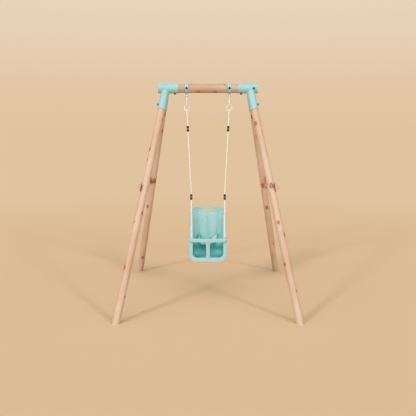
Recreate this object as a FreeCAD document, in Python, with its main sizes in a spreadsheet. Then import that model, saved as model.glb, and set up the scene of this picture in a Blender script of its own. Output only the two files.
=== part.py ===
"""Baby swing: a wooden A-frame with two steel corner brackets and a roped bucket seat.

Millimetres, +Z up, +X to the user's right as they face the swing, front at -Y.
The origin is on the ground, under the middle of the top beam.
"""
import FreeCAD, Part
import math
import os
import re

V = FreeCAD.Vector
X_AXIS = V(1, 0, 0)
Y_AXIS = V(0, 1, 0)
Z_AXIS = V(0, 0, 1)

# Driving sizes: name, value, what it is.
SIZES = [
    ("beam_height", 1770, "height of the beam's axis"),
    ("beam_diameter", 75, "round top beam"),
    ("beam_length", 822, "top beam, end to end"),
    ("leg_diameter", 60, "round leg"),
    ("apex_x", 350, "where the leg axes meet the beam axis"),
    ("foot_x", 690, "foot centre on the ground, sideways"),
    ("foot_y", 740, "foot centre on the ground, front and back"),
    ("leg_start", 85, "top end of a leg, along its axis from the apex"),
    ("sleeve_wall", 3, "steel of the bracket's tubes"),
    ("wood_gap", 0.4, "radial clearance of wood in a steel tube"),
    ("beam_sleeve_inner", 246, "inner end of the beam sleeve"),
    ("beam_sleeve_outer", 413, "outer end of the beam sleeve"),
    ("leg_sleeve_end", 197, "lower end of a leg sleeve, along its axis"),
    ("screw_diameter", 8, "bracket and rail screws"),
    ("screw_depth", 42, "screw shank past the face that its head sits on"),
    ("screw_clearance", 0.15, "radial, round every screw and bolt"),
    ("screw_head_diameter", 13, "bracket screw head"),
    ("screw_head_height", 5, "bracket screw head"),
    ("under_screw_x", 276, "screw under the beam sleeve"),
    ("face_screw_x", 379, "screw in the face of the beam sleeve"),
    ("leg_screw_at", 154, "screw in a leg sleeve, along the leg axis"),
    ("cap_diameter", 18, "domed bolt cap"),
    ("cap_height", 10, "domed bolt cap"),
    ("seat_gap", 0.2, "between a head or cap and the face that it sits on"),
    ("rail_height", 974, "side rail's height on the legs"),
    ("rail_radius", 30, "half-round side rail"),
    ("rail_length", 760, "side rail, end to end"),
    ("rail_gap", 0.3, "between a rail's flat and the legs"),
    ("rail_recess", 7, "depth of the rail screw's counterbore"),
    ("hanger_x", 177, "hanger's distance from the middle"),
    ("hanger_width", 30, "hanger collar along the beam"),
    ("hanger_wall", 4, "hanger collar's steel"),
    ("hanger_gap", 0.3, "between collar and beam"),
    ("cheek_gap", 12, "inside width between the hanger's cheeks"),
    ("cheek_wall", 4, "one cheek"),
    ("cheek_width", 24, "one cheek, front to back"),
    ("cheek_below_pin", 10, "cheek below the pivot pin"),
    ("pivot_drop", 57, "pivot pin below the beam's axis"),
    ("pin_radius", 4, "pivot pin"),
    ("bush_radius", 6, "nylon bush on the pivot pin"),
    ("running_gap", 0.05, "radial, pin in its bush or hole"),
    ("hook_wire", 8, "snap hook's wire"),
    ("hook_gap", 0.3, "hook's bend to bush, and ring to hook"),
    ("hook_length", 81, "hook, from bend centre to bend centre"),
    ("gate_wire", 6.8, "gate's bar"),
    ("gate_bottom", 17, "gate pin above the lower bend's centre"),
    ("gate_length", 46, "gate, from its pin to the hook's nose"),
    ("gate_gap", 0.4, "gate's end to the hook's nose"),
    ("gate_pin_radius", 1.25, "gate pin"),
    ("tongue_width", 3, "hook's tongue in the gate's fork"),
    ("ring_wire", 6, "ring's wire"),
    ("ring_radius", 21, "ring's centre line"),
    ("rope_diameter", 9, "braided rope"),
    ("rope_gap", 0.6, "radial clearance of the rope in its bores"),
    ("adjuster_width", 21, "rope adjuster across"),
    ("adjuster_depth", 36, "rope adjuster front to back"),
    ("adjuster_height", 46, "rope adjuster along the rope"),
    ("upper_adjuster_drop", 150, "upper adjuster below the ring's bottom"),
    ("tail_drop", 186, "tail's knot below the ring's bottom"),
    ("lower_adjuster_height", 858, "lower adjuster's middle"),
    ("strand_x", 143.5, "rope strands beside the seat"),
    ("strand_pitch", 14, "between the two strands in the lower adjuster"),
    ("edge_bend", 30, "rope's bend where it leaves the lower adjuster"),
    ("knot_diameter", 18, "stopper knot across"),
    ("knot_length", 24, "stopper knot along the rope"),
    ("seat_shift", 0, "seat's place front to back"),
    ("seat_bottom", 312, "underside of the seat"),
    ("seat_half", 160, "half width over the flange"),
    ("tub_half", 129, "half width inside the tub"),
    ("shell_wall", 4, "moulded wall"),
    ("front_y", -133, "seat's front plane"),
    ("pan_height", 322, "top of the seat pan"),
    ("band_top", 354, "top of the front rim's lower band"),
    ("arm_height", 488, "top of the arms"),
    ("arm_back", 38, "where the edge leaves the arms"),
    ("shoulder_front", 84, "where the edge reaches the shoulders"),
    ("shoulder_height", 702, "top of the shoulders"),
    ("back_low_y", 96, "back panel's rear face at the pan"),
    ("back_height", 748, "top of the back"),
    ("back_half", 139, "half width of the back's top"),
    ("recline", 8.4, "back panel's lean in degrees"),
    ("rim_corner", 65, "outer lower corners of the front rim"),
    ("tub_corner", 45, "lower side corners of the tub"),
    ("handle_width", 110, "handle slot"),
    ("handle_height", 23, "handle slot"),
    ("handle_centre", 716, "handle slot"),
    ("belt_slot_x", 82, "belt slots"),
    ("belt_height", 500, "belt slots"),
    ("belt_width", 25, "webbing"),
    ("belt_thickness", 2, "webbing"),
    ("arm_hole_y", -107, "front strand's hole in the arm"),
    ("shoulder_hole_y", 112, "rear strand's hole in the shoulder"),
    ("bar_height", 32, "guard bar, top to bottom"),
    ("bar_bow", 18, "guard bar's bow to the front"),
    ("bar_depth", 38, "guard bar's ends, front to back"),
    ("bar_middle_depth", 22, "guard bar's middle, front to back"),
    ("stem_half", 17, "half width of the stem"),
    ("stem_thickness", 12, "stem, front to back"),
    ("key_half", 12, "half width of the stem's tongue"),
    ("key_thickness", 5, "stem's tongue"),
    ("key_depth", 18, "stem's tongue in the rim's pocket"),
    ("rest_gap", 0.3, "between parts that rest on each other"),
    ("buckle_x", -36, "buckle's place"),
    ("buckle_y", 46, "buckle's front face"),
    ("buckle_height", 448, "buckle's middle"),
    ("buckle_width", 46, "buckle housing"),
    ("buckle_tall", 36, "buckle housing"),
    ("buckle_depth", 16, "buckle housing"),
    ("button_width", 18, "press button"),
    ("button_tall", 14, "press button"),
    ("button_proud", 3.2, "button stands out of the housing"),
    ("button_travel", 3, "press button"),
]
NAMES = {row[0] for row in SIZES}

doc = FreeCAD.newDocument("baby_swing")
sheet = doc.addObject("Spreadsheet::Sheet", "Size")
for row_number, (name, amount, meaning) in enumerate(SIZES, start=1):
    sheet.set("A%d" % row_number, name)
    sheet.set("B%d" % row_number, str(amount))
    sheet.set("C%d" % row_number, meaning)
    sheet.setAlias("B%d" % row_number, name)
doc.recompute()

nodes = []


def size(name):
    """One driving size, as a number."""
    return float(sheet.get(name))


def formula(text):
    """A formula in the sheet's names, such as 'beam_diameter / 2', as the document writes it."""
    return re.sub(r"[a-z_]+", lambda word: "Size." + word[0] if word[0] in NAMES else word[0], text)


def turned(direction, across=None):
    """The rotation that turns local Z to a direction, and local Y to another across it."""
    if across is None:
        return FreeCAD.Rotation(Z_AXIS, direction)
    return FreeCAD.Rotation(across.cross(direction), across, direction, "ZYX")


def primitive(kind, name, sizes, place=V(0, 0, 0), direction=Z_AXIS, across=None):
    """A Part primitive with its sizes bound to the sheet. A place is a vector or three formulas."""
    item = doc.addObject("Part::" + kind, name)
    fixed = isinstance(place, FreeCAD.Vector)
    item.Placement = FreeCAD.Placement(place if fixed else V(0, 0, 0), turned(direction, across))
    for prop, text in sizes.items():
        item.setExpression(prop, formula(text))
    if not fixed:
        for letter, text in zip("xyz", place):
            item.setExpression("Placement.Base." + letter, formula(text))
    return item


def rod(name, radius, length, place, direction=Z_AXIS):
    """A round bar from a place along a direction."""
    return primitive("Cylinder", name, {"Radius": radius, "Height": length}, place, direction)


def block(name, low, lengths):
    """A box from its low corner, in formulas."""
    return primitive("Box", name, dict(zip(("Length", "Width", "Height"), lengths)), low)


def fuse(name, items):
    """Several shapes joined into one."""
    item = doc.addObject("Part::MultiFuse", name)
    item.Shapes = items
    item.Refine = True
    return item


def cut(name, base, tools):
    """A shape less others."""
    item = doc.addObject("Part::Cut", name)
    item.Base = base
    item.Tool = tools[0] if len(tools) == 1 else fuse(name + "_tools", tools)
    return item


def group(name, items):
    """Identical pieces that share a node as separate solids."""
    item = doc.addObject("Part::Compound", name)
    item.Links = items
    return item


def coded(name, shape):
    """A document object with a shape made by a formula."""
    item = doc.addObject("Part::Feature", name)
    item.Shape = shape
    item.Placement = FreeCAD.Placement()
    return item


def node(label, item):
    """Names a finished sub-part."""
    item.Label = label
    nodes.append(item)
    return item


def side_name(side):
    """The user's left is -X."""
    return "left" if side < 0 else "right"


# Directions and stations of the frame.
def apex(side):
    """Where a side's two leg axes meet the beam's axis."""
    return V(side * size("apex_x"), 0, size("beam_height"))


def leg_direction(side, end):
    """Along a leg, downwards. End -1 is the front leg, +1 the back leg."""
    foot = V(side * size("foot_x"), end * size("foot_y"), 0)
    return (foot - apex(side)).normalize()


def side_normal(side):
    """Outwards, square to the plane of a side's two legs."""
    run = size("foot_x") - size("apex_x")
    return V(side * size("beam_height"), 0, run).normalize()


def station(side, end, along):
    """A point on a leg's axis."""
    return apex(side) + leg_direction(side, end) * along


def leg_length(side, end):
    """From the apex to the foot's centre on the ground."""
    return (V(side * size("foot_x"), end * size("foot_y"), 0) - apex(side)).Length


def rail_fraction():
    """The rail's height as a share of the way down a leg."""
    return 1 - size("rail_height") / size("beam_height")


def bracket_screw_places(side):
    """Where each bracket screw's head sits, and its outward direction."""
    beam_face = size("beam_diameter") / 2 + size("wood_gap") + size("sleeve_wall") + size("seat_gap")
    leg_face = size("leg_diameter") / 2 + size("wood_gap") + size("sleeve_wall") + size("seat_gap")
    height = size("beam_height")
    places = [(V(side * size("under_screw_x"), 0, height - beam_face), V(0, 0, -1)),
              (V(side * size("face_screw_x"), -side * beam_face, height), V(0, -side, 0))]
    for end in (-1, 1):
        normal = side_normal(side)
        places.append((station(side, end, size("leg_screw_at")) + normal * leg_face, normal))
    return places


def rail_screw_places(side):
    """Where each rail screw's head sits in its counterbore, and its outward direction."""
    normal = side_normal(side)
    out = size("leg_diameter") / 2 + size("rail_gap") + size("rail_radius") - size("rail_recess")
    return [(station(side, end, rail_fraction() * leg_length(side, end)) + normal * out, normal)
            for end in (-1, 1)]


def screw_holes(name, places, depth, extra="screw_clearance"):
    """Holes for screws, open outwards past the head's seat."""
    return [rod("%s_hole_%d" % (name, index), "screw_diameter / 2 + " + extra, depth + " + 1 + 30",
                seat + normal * 30, normal * -1) for index, (seat, normal) in enumerate(places)]


def build_beam():
    """The round top beam, with the holes of its screws and of the hanger bolts."""
    beam = rod("beam_round", "beam_diameter / 2", "beam_length",
               ("-beam_length / 2", "0", "beam_height"), X_AXIS)
    holes = []
    for side in (-1, 1):
        places = bracket_screw_places(side)[:2]
        holes += screw_holes("beam_" + side_name(side), places, "screw_depth")
        holes.append(rod("beam_bolt_hole_" + side_name(side), "screw_diameter / 2 + screw_clearance",
                         "beam_diameter + 2", ("%d * hanger_x" % side, "-beam_diameter / 2 - 1", "beam_height"),
                         Y_AXIS))
    node("top_beam", cut("beam_cut", beam, holes))


def build_leg(side, end):
    """One round leg, cut flat where it stands on the ground."""
    name = "leg_%s_%s" % ("front" if end < 0 else "back", side_name(side))
    length = leg_length(side, end)
    round_leg = rod(name + "_round", "leg_diameter / 2", "%.6f - leg_start + leg_diameter" % length,
                    station(side, end, size("leg_start")), leg_direction(side, end))
    ground = block(name + "_ground", ("%d * foot_x - 4 * leg_diameter" % side,
                                      "%d * foot_y - 4 * leg_diameter" % end, "-4 * leg_diameter"),
                   ("8 * leg_diameter", "8 * leg_diameter", "4 * leg_diameter"))
    index = 0 if end < 0 else 1
    holes = screw_holes(name, [bracket_screw_places(side)[2 + index]], "screw_depth")
    rail_depth = "rail_radius - rail_recess + screw_depth"
    holes += screw_holes(name + "_rail", [rail_screw_places(side)[index]], rail_depth)
    node(name, cut(name + "_cut", round_leg, [ground] + holes))


def build_bracket(side):
    """A steel corner bracket: a beam sleeve with two leg sleeves welded under it."""
    name = "bracket_" + side_name(side)
    start = "beam_sleeve_inner" if side > 0 else "-beam_sleeve_outer"
    span = "beam_sleeve_outer - beam_sleeve_inner"
    tubes = []
    bores = []
    for end in (-1, 1):
        part = "%s_%s" % (name, "front" if end < 0 else "back")
        tubes.append(rod(part + "_tube", "leg_diameter / 2 + wood_gap + sleeve_wall", "leg_sleeve_end",
                         apex(side), leg_direction(side, end)))
        bores.append(rod(part + "_bore", "leg_diameter / 2 + wood_gap", "leg_sleeve_end + 1",
                         apex(side), leg_direction(side, end)))
    legs = cut(name + "_legs", fuse(name + "_tubes", tubes), bores)
    sleeve = rod(name + "_sleeve", "beam_diameter / 2 + wood_gap + sleeve_wall", span,
                 (start, "0", "beam_height"), X_AXIS)
    hollow = rod(name + "_hollow", "beam_diameter / 2 + wood_gap", span + " + 2",
                 (start + " - 1", "0", "beam_height"), X_AXIS)
    holes = screw_holes(name, bracket_screw_places(side), "sleeve_wall + wood_gap")
    node(name, cut(name + "_cut", fuse(name + "_whole", [legs, sleeve]), [hollow] + holes))


def build_rail(side):
    """A half-round rail that ties a side's legs together, its flat against them."""
    name = "side_rail_" + side_name(side)
    normal = side_normal(side)
    middle = station(side, -1, rail_fraction() * leg_length(side, -1))
    flat = V(middle.x, 0, middle.z) + normal * (size("leg_diameter") / 2 + size("rail_gap"))
    start = flat - Y_AXIS * (size("rail_length") / 2)
    half = primitive("Cylinder", name + "_half", {"Radius": "rail_radius", "Height": "rail_length"},
                     start, Y_AXIS, normal)
    half.Angle = 180
    holes = screw_holes(name, rail_screw_places(side), "rail_radius")
    holes += [rod("%s_recess_%d" % (name, index), "screw_head_diameter / 2 + 1", "2 * rail_recess", seat, normal)
              for index, (seat, normal) in enumerate(rail_screw_places(side))]
    node(name, cut(name + "_cut", half, holes))


def build_screws():
    """Bracket screws under their caps, and rail screws in their counterbores."""
    sets = {"bracket": ([], "screw_depth"), "rail": ([], "rail_radius - rail_recess + screw_depth")}
    for side in (-1, 1):
        sets["bracket"][0].extend(bracket_screw_places(side))
        sets["rail"][0].extend(rail_screw_places(side))
    for kind, (places, depth) in sets.items():
        screws = []
        for index, (seat, normal) in enumerate(places):
            name = "%s_screw_%d" % (kind, index)
            shank = rod(name + "_shank", "screw_diameter / 2", depth, seat, normal * -1)
            head = rod(name + "_head", "screw_head_diameter / 2", "screw_head_height", seat, normal)
            screws.append(fuse(name, [shank, head]))
        node(kind + "_screws", group(kind + "_screws_group", screws))


def cap(name, seat, normal):
    """A domed plastic cap over a bolt's or screw's head."""
    skirt = rod(name + "_skirt", "cap_diameter / 2", "cap_height / 2", seat, normal)
    dome = primitive("Ellipsoid", name + "_dome", {"Radius1": "cap_height / 2", "Radius2": "cap_diameter / 2",
                                                   "Radius3": "cap_diameter / 2"},
                     seat + normal * (size("cap_height") / 2), normal)
    dome.Angle1 = 0
    inside = rod(name + "_inside", "screw_head_diameter / 2 + screw_clearance",
                 "screw_head_height + 2 * screw_clearance", seat, normal)
    return cut(name, fuse(name + "_body", [skirt, dome]), [inside])


def build_caps():
    """Caps on the bracket screws and on the hanger bolts."""
    places = []
    for side in (-1, 1):
        places.extend(bracket_screw_places(side))
    node("bracket_caps", group("bracket_caps_group", [cap("bracket_cap_%d" % index, seat, normal)
                                                      for index, (seat, normal) in enumerate(places)]))
    face = size("beam_diameter") / 2 + size("hanger_gap") + size("hanger_wall") + size("seat_gap")
    node("hanger_caps", group("hanger_caps_group", [
        cap("hanger_cap_" + side_name(side), V(side * size("hanger_x"), -face, size("beam_height")), V(0, -1, 0))
        for side in (-1, 1)]))


COLLAR = "beam_diameter / 2 + hanger_gap + hanger_wall"
PIVOT = "beam_height - pivot_drop"


def build_hanger(side):
    """A steel collar round the beam, with two cheeks that hold the pivot pin."""
    name = "hanger_" + side_name(side)
    middle = "%d * hanger_x" % side
    low = middle + " - hanger_width / 2"
    collar = rod(name + "_collar", COLLAR, "hanger_width", (low, "0", "beam_height"), X_AXIS)
    bore = rod(name + "_bore", "beam_diameter / 2 + hanger_gap", "hanger_width + 2",
               (low + " - 1", "0", "beam_height"), X_AXIS)
    cheeks = []
    for hand in (-1, 1):
        edge = middle + (" + cheek_gap / 2" if hand > 0 else " - cheek_gap / 2 - cheek_wall")
        cheek = "%s_cheek_%s" % (name, side_name(hand))
        cheeks.append(block(cheek, (edge, "-cheek_width / 2", PIVOT),
                            ("cheek_wall", "cheek_width", "pivot_drop - beam_diameter / 2")))
        cheeks.append(rod(cheek + "_end", "cheek_width / 2", "cheek_wall", (edge, "0", PIVOT), X_AXIS))
    pin_hole = rod(name + "_pin_hole", "pin_radius + running_gap", "hanger_width + 2",
                   (low + " - 1", "0", PIVOT), X_AXIS)
    bolt_hole = rod(name + "_bolt_hole", "screw_diameter / 2 + screw_clearance", "2 * beam_diameter",
                    (middle, "-beam_diameter", "beam_height"), Y_AXIS)
    node(name, cut(name + "_cut", fuse(name + "_whole", [collar] + cheeks), [bore, pin_hole, bolt_hole]))


def build_hanger_hardware():
    """Through bolts with washers and nuts, pivot pins with their bushes."""
    bolts, washers, nuts, pins, bushes = [], [], [], [], []
    for side in (-1, 1):
        tag = side_name(side)
        middle = "%d * hanger_x" % side
        front = "-(" + COLLAR + ") - seat_gap"
        back = COLLAR + " + seat_gap"
        shank = rod("bolt_shank_" + tag, "screw_diameter / 2", "beam_diameter + 2 * hanger_gap + 2 * hanger_wall + 14",
                    (middle, front, "beam_height"), Y_AXIS)
        head = rod("bolt_head_" + tag, "screw_head_diameter / 2", "screw_head_height",
                   (middle, front + " - screw_head_height", "beam_height"), Y_AXIS)
        bolts.append(fuse("bolt_" + tag, [shank, head]))
        disc = rod("washer_disc_" + tag, "screw_diameter", "2", (middle, back, "beam_height"), Y_AXIS)
        eye = rod("washer_eye_" + tag, "screw_diameter / 2 + screw_clearance", "4",
                  (middle, back + " - 1", "beam_height"), Y_AXIS)
        washers.append(cut("washer_" + tag, disc, [eye]))
        hexagon = primitive("Prism", "nut_body_" + tag, {"Circumradius": "screw_diameter * 0.94", "Height": "7"},
                            (middle, back + " + 2.2", "beam_height"), Y_AXIS)
        hexagon.Polygon = 6
        thread = rod("nut_thread_" + tag, "screw_diameter / 2 + screw_clearance", "9",
                     (middle, back + " + 1", "beam_height"), Y_AXIS)
        nuts.append(cut("nut_" + tag, hexagon, [thread]))
        outer = "cheek_gap / 2 + cheek_wall"
        pin = rod("pin_shank_" + tag, "pin_radius", "cheek_gap + 2 * cheek_wall + 4",
                  (middle + " - " + outer + " - 2", "0", PIVOT), X_AXIS)
        pin_head = rod("pin_head_" + tag, "pin_radius + 2", "2.5",
                       (middle + " + " + outer + " + 0.2", "0", PIVOT), X_AXIS)
        pins.append(fuse("pin_" + tag, [pin, pin_head]))
        sleeve = rod("bush_body_" + tag, "bush_radius", "cheek_gap - 0.4",
                     (middle + " - cheek_gap / 2 + 0.2", "0", PIVOT), X_AXIS)
        inside = rod("bush_bore_" + tag, "pin_radius + running_gap", "cheek_gap + 2",
                     (middle + " - cheek_gap / 2 - 1", "0", PIVOT), X_AXIS)
        bushes.append(cut("bush_" + tag, sleeve, [inside]))
    node("hanger_bolts", group("hanger_bolts_group", bolts))
    node("hanger_washers", group("hanger_washers_group", washers))
    node("hanger_nuts", group("hanger_nuts_group", nuts))
    node("pivot_pins", group("pivot_pins_group", pins))
    node("pivot_bushes", group("pivot_bushes_group", bushes))


def hook_bend():
    """Centre-line radius of the hook's bends, which the pivot bush sets."""
    return size("bush_radius") + size("hook_gap") + size("hook_wire") / 2


def pivot_height():
    """Height of the pivot pins."""
    return size("beam_height") - size("pivot_drop")


def build_hook(side):
    """A snap hook: a wire loop with a hinged gate in its rear side, and the gate's pin."""
    tag = side_name(side)
    name = "snap_hook_" + tag
    x = side * size("hanger_x")
    bend = hook_bend()
    top = pivot_height()
    bottom = top - size("hook_length")
    pin_z = bottom + size("gate_bottom")
    nose = pin_z + size("gate_length")
    bar = size("gate_wire") / 2
    stub = pin_z - bar - size("gate_gap")
    wire = "hook_wire / 2"
    pieces = []
    for label, height, up in (("top", top, 1), ("bottom", bottom, -1)):
        half = primitive("Torus", "%s_%s" % (name, label), {"Radius1": "%.6f" % bend, "Radius2": wire},
                         V(x, 0, height), X_AXIS, V(0, 0, up))
        half.Angle3 = 180
        pieces.append(half)
    pieces.append(rod(name + "_front", wire, "hook_length", V(x, -bend, bottom)))
    pieces.append(rod(name + "_stub", wire, "%.6f" % (stub - bottom), V(x, bend, bottom)))
    pieces.append(rod(name + "_nose", wire, "%.6f" % (top - nose), V(x, bend, nose)))
    pieces.append(block(name + "_tongue", ("%.6f - tongue_width / 2" % x, "%.6f" % (bend - bar), "%.6f" % (stub - 1)),
                        ("tongue_width", "gate_wire", "%.6f" % (pin_z + bar / 2 - stub + 1))))
    pin_hole = rod(name + "_pin_hole", "gate_pin_radius + running_gap", "hook_wire * 2",
                   V(x - size("hook_wire"), bend, pin_z), X_AXIS)
    node(name, cut(name + "_cut", fuse(name + "_whole", pieces), [pin_hole]))

    gate = "hook_gate_" + tag
    stem = rod(gate + "_bar", "gate_wire / 2", "gate_length - gate_gap", V(x, bend, pin_z))
    knuckle = rod(gate + "_knuckle", "gate_wire / 2 - 0.3", "gate_wire - 1", V(x - bar + 0.5, bend, pin_z), X_AXIS)
    fork = block(gate + "_fork", ("%.6f - tongue_width / 2 - 0.2" % x, "%.6f" % (bend - 10), "%.6f" % (pin_z - 10)),
                 ("tongue_width + 0.4", "20", "17"))
    eye = rod(gate + "_eye", "gate_pin_radius + running_gap", "hook_wire * 2",
              V(x - size("hook_wire"), bend, pin_z), X_AXIS)
    node(gate, cut(gate + "_cut", fuse(gate + "_whole", [stem, knuckle]), [fork, eye]))
    return rod("gate_pin_" + tag, "gate_pin_radius", "gate_wire", V(x - bar, bend, pin_z), X_AXIS)


def ring_bottom():
    """Height of the ring's lower wire's centre."""
    hook_wire_centre = pivot_height() - size("hook_length") - hook_bend()
    top_wire = hook_wire_centre + size("hook_wire") / 2 + size("ring_wire") / 2 + size("hook_gap")
    return top_wire - 2 * size("ring_radius")


def build_ring(side):
    """The steel ring that hangs in the hook and carries the rope."""
    name = "ring_" + side_name(side)
    node(name, primitive("Torus", name + "_torus", {"Radius1": "ring_radius", "Radius2": "ring_wire / 2"},
                         V(side * size("hanger_x"), 0, ring_bottom() + size("ring_radius")), Y_AXIS))


# Ropes. A route is a list of points chosen by hand; its corners are rounded by tangent arcs.
def rounded_edges(points, radii, closed=False):
    """Straight runs joined by tangent arcs. A radius of None takes as much as its two runs allow."""
    count = len(points)
    corners = range(count) if closed else range(1, count - 1)
    arcs = {}
    for index in corners:
        before = points[index - 1] - points[index]
        after = points[(index + 1) % count] - points[index]
        turn = math.pi - before.getAngle(after)
        radius = radii[index] if radii else None
        if turn < 1e-4 or radius == 0:
            continue
        if radius is None:
            radius = 0.45 * min(before.Length, after.Length) / math.tan(turn / 2)
        reach = radius * math.tan(turn / 2)
        start = points[index] + before.normalize() * reach
        finish = points[index] + after.normalize() * reach
        inward = (before + after).normalize()
        middle = points[index] + inward * (radius / math.cos(turn / 2) - radius)
        arcs[index] = (start, middle, finish, radius)
    edges = []
    for index in range(count if closed else count - 1):
        following = (index + 1) % count
        start = arcs[index][2] if index in arcs else points[index]
        finish = arcs[following][0] if following in arcs else points[following]
        if (finish - start).Length > 1e-5:
            edges.append(Part.LineSegment(start, finish).toShape())
        if following in arcs:
            edges.append(Part.Arc(arcs[following][0], arcs[following][1], arcs[following][2]).toShape())
    return edges, [round(arcs[index][3], 1) for index in sorted(arcs)]


def tube(label, points, radii):
    """A rope's solid along its route; prints the bends and the volume against section times length."""
    edges, bends = rounded_edges(points, radii)
    path = Part.Wire(edges)
    radius = size("rope_diameter") / 2
    section = Part.Wire(Part.makeCircle(radius, points[0], points[1] - points[0]))
    solid = path.makePipeShell([section], True, False)
    share = solid.Volume / (math.pi * radius ** 2 * path.Length)
    print("%s: length %.1f mm, bends %s, volume share %.5f" % (label, path.Length, bends, share))
    return solid


def shift(y):
    """A seat place front to back."""
    return y + size("seat_shift")


def upper_strand(side):
    """The ring's lower wire, the way down the upper rope, and the way across it to the rear."""
    ring = V(side * size("hanger_x"), 0, ring_bottom())
    wrap = size("ring_wire") / 2 + size("rope_diameter") / 2 + size("hook_gap")
    target = V(side * size("strand_x"), -size("strand_pitch") / 2, size("lower_adjuster_height") + 34)
    across = Y_AXIS
    for _ in range(6):
        down = (target - ring - across * wrap).normalize()
        across = (Y_AXIS - down * Y_AXIS.dot(down)).normalize()
    return ring, down, across, wrap


def lower_strand_ends(end):
    """A strand's place under the lower adjuster, and its hole in the seat. End -1 is the front."""
    y = end * size("strand_pitch") / 2
    hole_y = size("arm_hole_y") if end < 0 else size("shoulder_hole_y")
    hole_z = size("arm_height") if end < 0 else size("shoulder_height")
    return (V(0, y, size("lower_adjuster_height") - 32),
            V(0, shift(hole_y), hole_z - size("shell_wall") / 2))


def strand_direction(end):
    """Along a lower strand, downwards."""
    top, hole = lower_strand_ends(end)
    return (hole - top).normalize()


def knot_top(side, end):
    """Where a lower strand goes into the knot under its flange."""
    hole = lower_strand_ends(end)[1]
    way = strand_direction(end)
    rounding = size("knot_diameter") / 4
    rise = rounding * math.sqrt(1 - way.z ** 2) + rounding * (1 + way.z)
    drop = (size("shell_wall") / 2 + rise + size("rest_gap")) / -way.z
    return V(side * size("strand_x"), 0, 0) + hole + way * drop


def main_rope_route(side):
    """From the tail's knot, over the ring, through both adjusters, to the knot under the arm."""
    ring, down, across, wrap = upper_strand(side)
    front = ring - across * wrap
    rear = ring + across * wrap
    strand = V(side * size("strand_x"), 0, 0)
    adjuster_top = strand + V(0, -size("strand_pitch") / 2, size("lower_adjuster_height") + 34)
    return [front + down * size("tail_drop"), front - down * wrap, rear - down * wrap,
            adjuster_top, strand + lower_strand_ends(-1)[0], knot_top(side, -1)]


def rear_rope_route(side):
    """From inside the lower adjuster to the knot under the shoulder."""
    strand = V(side * size("strand_x"), 0, 0)
    start = strand + V(0, size("strand_pitch") / 2, size("lower_adjuster_height") + 18)
    return [start, strand + lower_strand_ends(1)[0], knot_top(side, 1)]


def build_ropes(side):
    """The main rope, the short rear rope and their stopper knots."""
    tag = side_name(side)
    wrap = upper_strand(side)[3]
    route = main_rope_route(side)
    node("main_rope_" + tag, coded("main_rope_%s_tube" % tag,
                                   tube("main_rope_" + tag, route, [0, wrap, wrap, None, size("edge_bend"), 0])))
    rear = rear_rope_route(side)
    node("rear_rope_" + tag, coded("rear_rope_%s_tube" % tag, tube("rear_rope_" + tag, rear,
                                                                    [0, size("edge_bend"), 0])))
    ends = (("tail_knot_", route[0], upper_strand(side)[1]), ("arm_knot_", route[-1], strand_direction(-1)),
            ("shoulder_knot_", rear[-1], strand_direction(1)))
    for label, place, along in ends:
        barrel = rod(label + tag + "_barrel", "knot_diameter / 2", "knot_length", place, along)
        doc.recompute()
        smooth = doc.addObject("Part::Fillet", label + tag + "_smooth")
        smooth.Base = barrel
        rounding = size("knot_diameter") / 4
        smooth.Edges = [(index + 1, rounding, rounding) for index, edge in enumerate(barrel.Shape.Edges)
                        if isinstance(edge.Curve, Part.Circle)]
        node(label + tag, smooth)


def build_adjuster(name, middle, along, bores):
    """A black two-lobed rope adjuster, its window showing the rope. Bores are (offset, direction) pairs."""
    across = (Y_AXIS - along * Y_AXIS.dot(along)).normalize()
    lobe = size("adjuster_width") / 2
    back = middle - across * (size("adjuster_depth") / 2)
    pieces = []
    for index, hand in enumerate((-1, 1)):
        centre = back + along * (hand * (size("adjuster_height") / 2 - lobe))
        pieces.append(rod("%s_lobe_%d" % (name, index), "adjuster_width / 2", "adjuster_depth", centre, across))
    waist = primitive("Box", name + "_waist", {"Length": "adjuster_width * 0.8", "Width": "adjuster_depth",
                                               "Height": "adjuster_height - adjuster_width"},
                      back - across.cross(along) * (0.4 * size("adjuster_width"))
                      - along * (size("adjuster_height") / 2 - lobe), along, across)
    pieces.append(waist)
    tools = [rod("%s_bore_%d" % (name, index), "rope_diameter / 2 + rope_gap", "2 * adjuster_height",
                 place - way * size("adjuster_height"), way) for index, (place, way) in enumerate(bores)]
    node(name, cut(name + "_cut", fuse(name + "_whole", pieces), tools))


def build_adjusters(side):
    """Upper adjuster on the tail and the standing rope, lower adjuster on the two seat strands."""
    tag = side_name(side)
    ring, down, across, wrap = upper_strand(side)
    middle = ring + down * size("upper_adjuster_drop")
    build_adjuster("upper_adjuster_" + tag, middle, down,
                   [(middle - across * wrap, down), (middle + across * wrap, down)])
    centre = V(side * size("strand_x"), 0, size("lower_adjuster_height"))
    pitch = V(0, size("strand_pitch") / 2, 0)
    build_adjuster("lower_adjuster_" + tag, centre, Z_AXIS, [(centre - pitch, Z_AXIS), (centre + pitch, Z_AXIS)])


# The seat.
def prism(points, radii, start, travel):
    """A rounded outline, moved along a straight travel into a solid."""
    edges = rounded_edges([point + start for point in points], radii, closed=True)[0]
    return Part.Face(Part.Wire(edges)).extrude(travel)


def side_prism(points, radii, low_x, high_x):
    """A solid from a side outline, given as (y, z), between two x."""
    return prism([V(0, y, z) for y, z in points], radii, V(low_x, 0, 0), V(high_x - low_x, 0, 0))


def front_prism(points, radii, low_y, high_y):
    """A solid from a front outline, given as (x, z), between two y."""
    return prism([V(x, 0, z) for x, z in points], radii, V(0, low_y, 0), V(0, high_y - low_y, 0))


def back_face(z, inset=0.0):
    """The back panel's rear face at a height, or a face inside it."""
    lean = math.radians(size("recline"))
    return shift(size("back_low_y")) + (z - size("band_top")) * math.tan(lean) - inset / math.cos(lean)


def bucket(half, bottom, corner, low_y, high_y, top):
    """A U-shaped front outline as a solid."""
    return front_prism([(-half, top), (-half, bottom), (half, bottom), (half, top)], [0, corner, corner, 0],
                       low_y, high_y)


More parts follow.
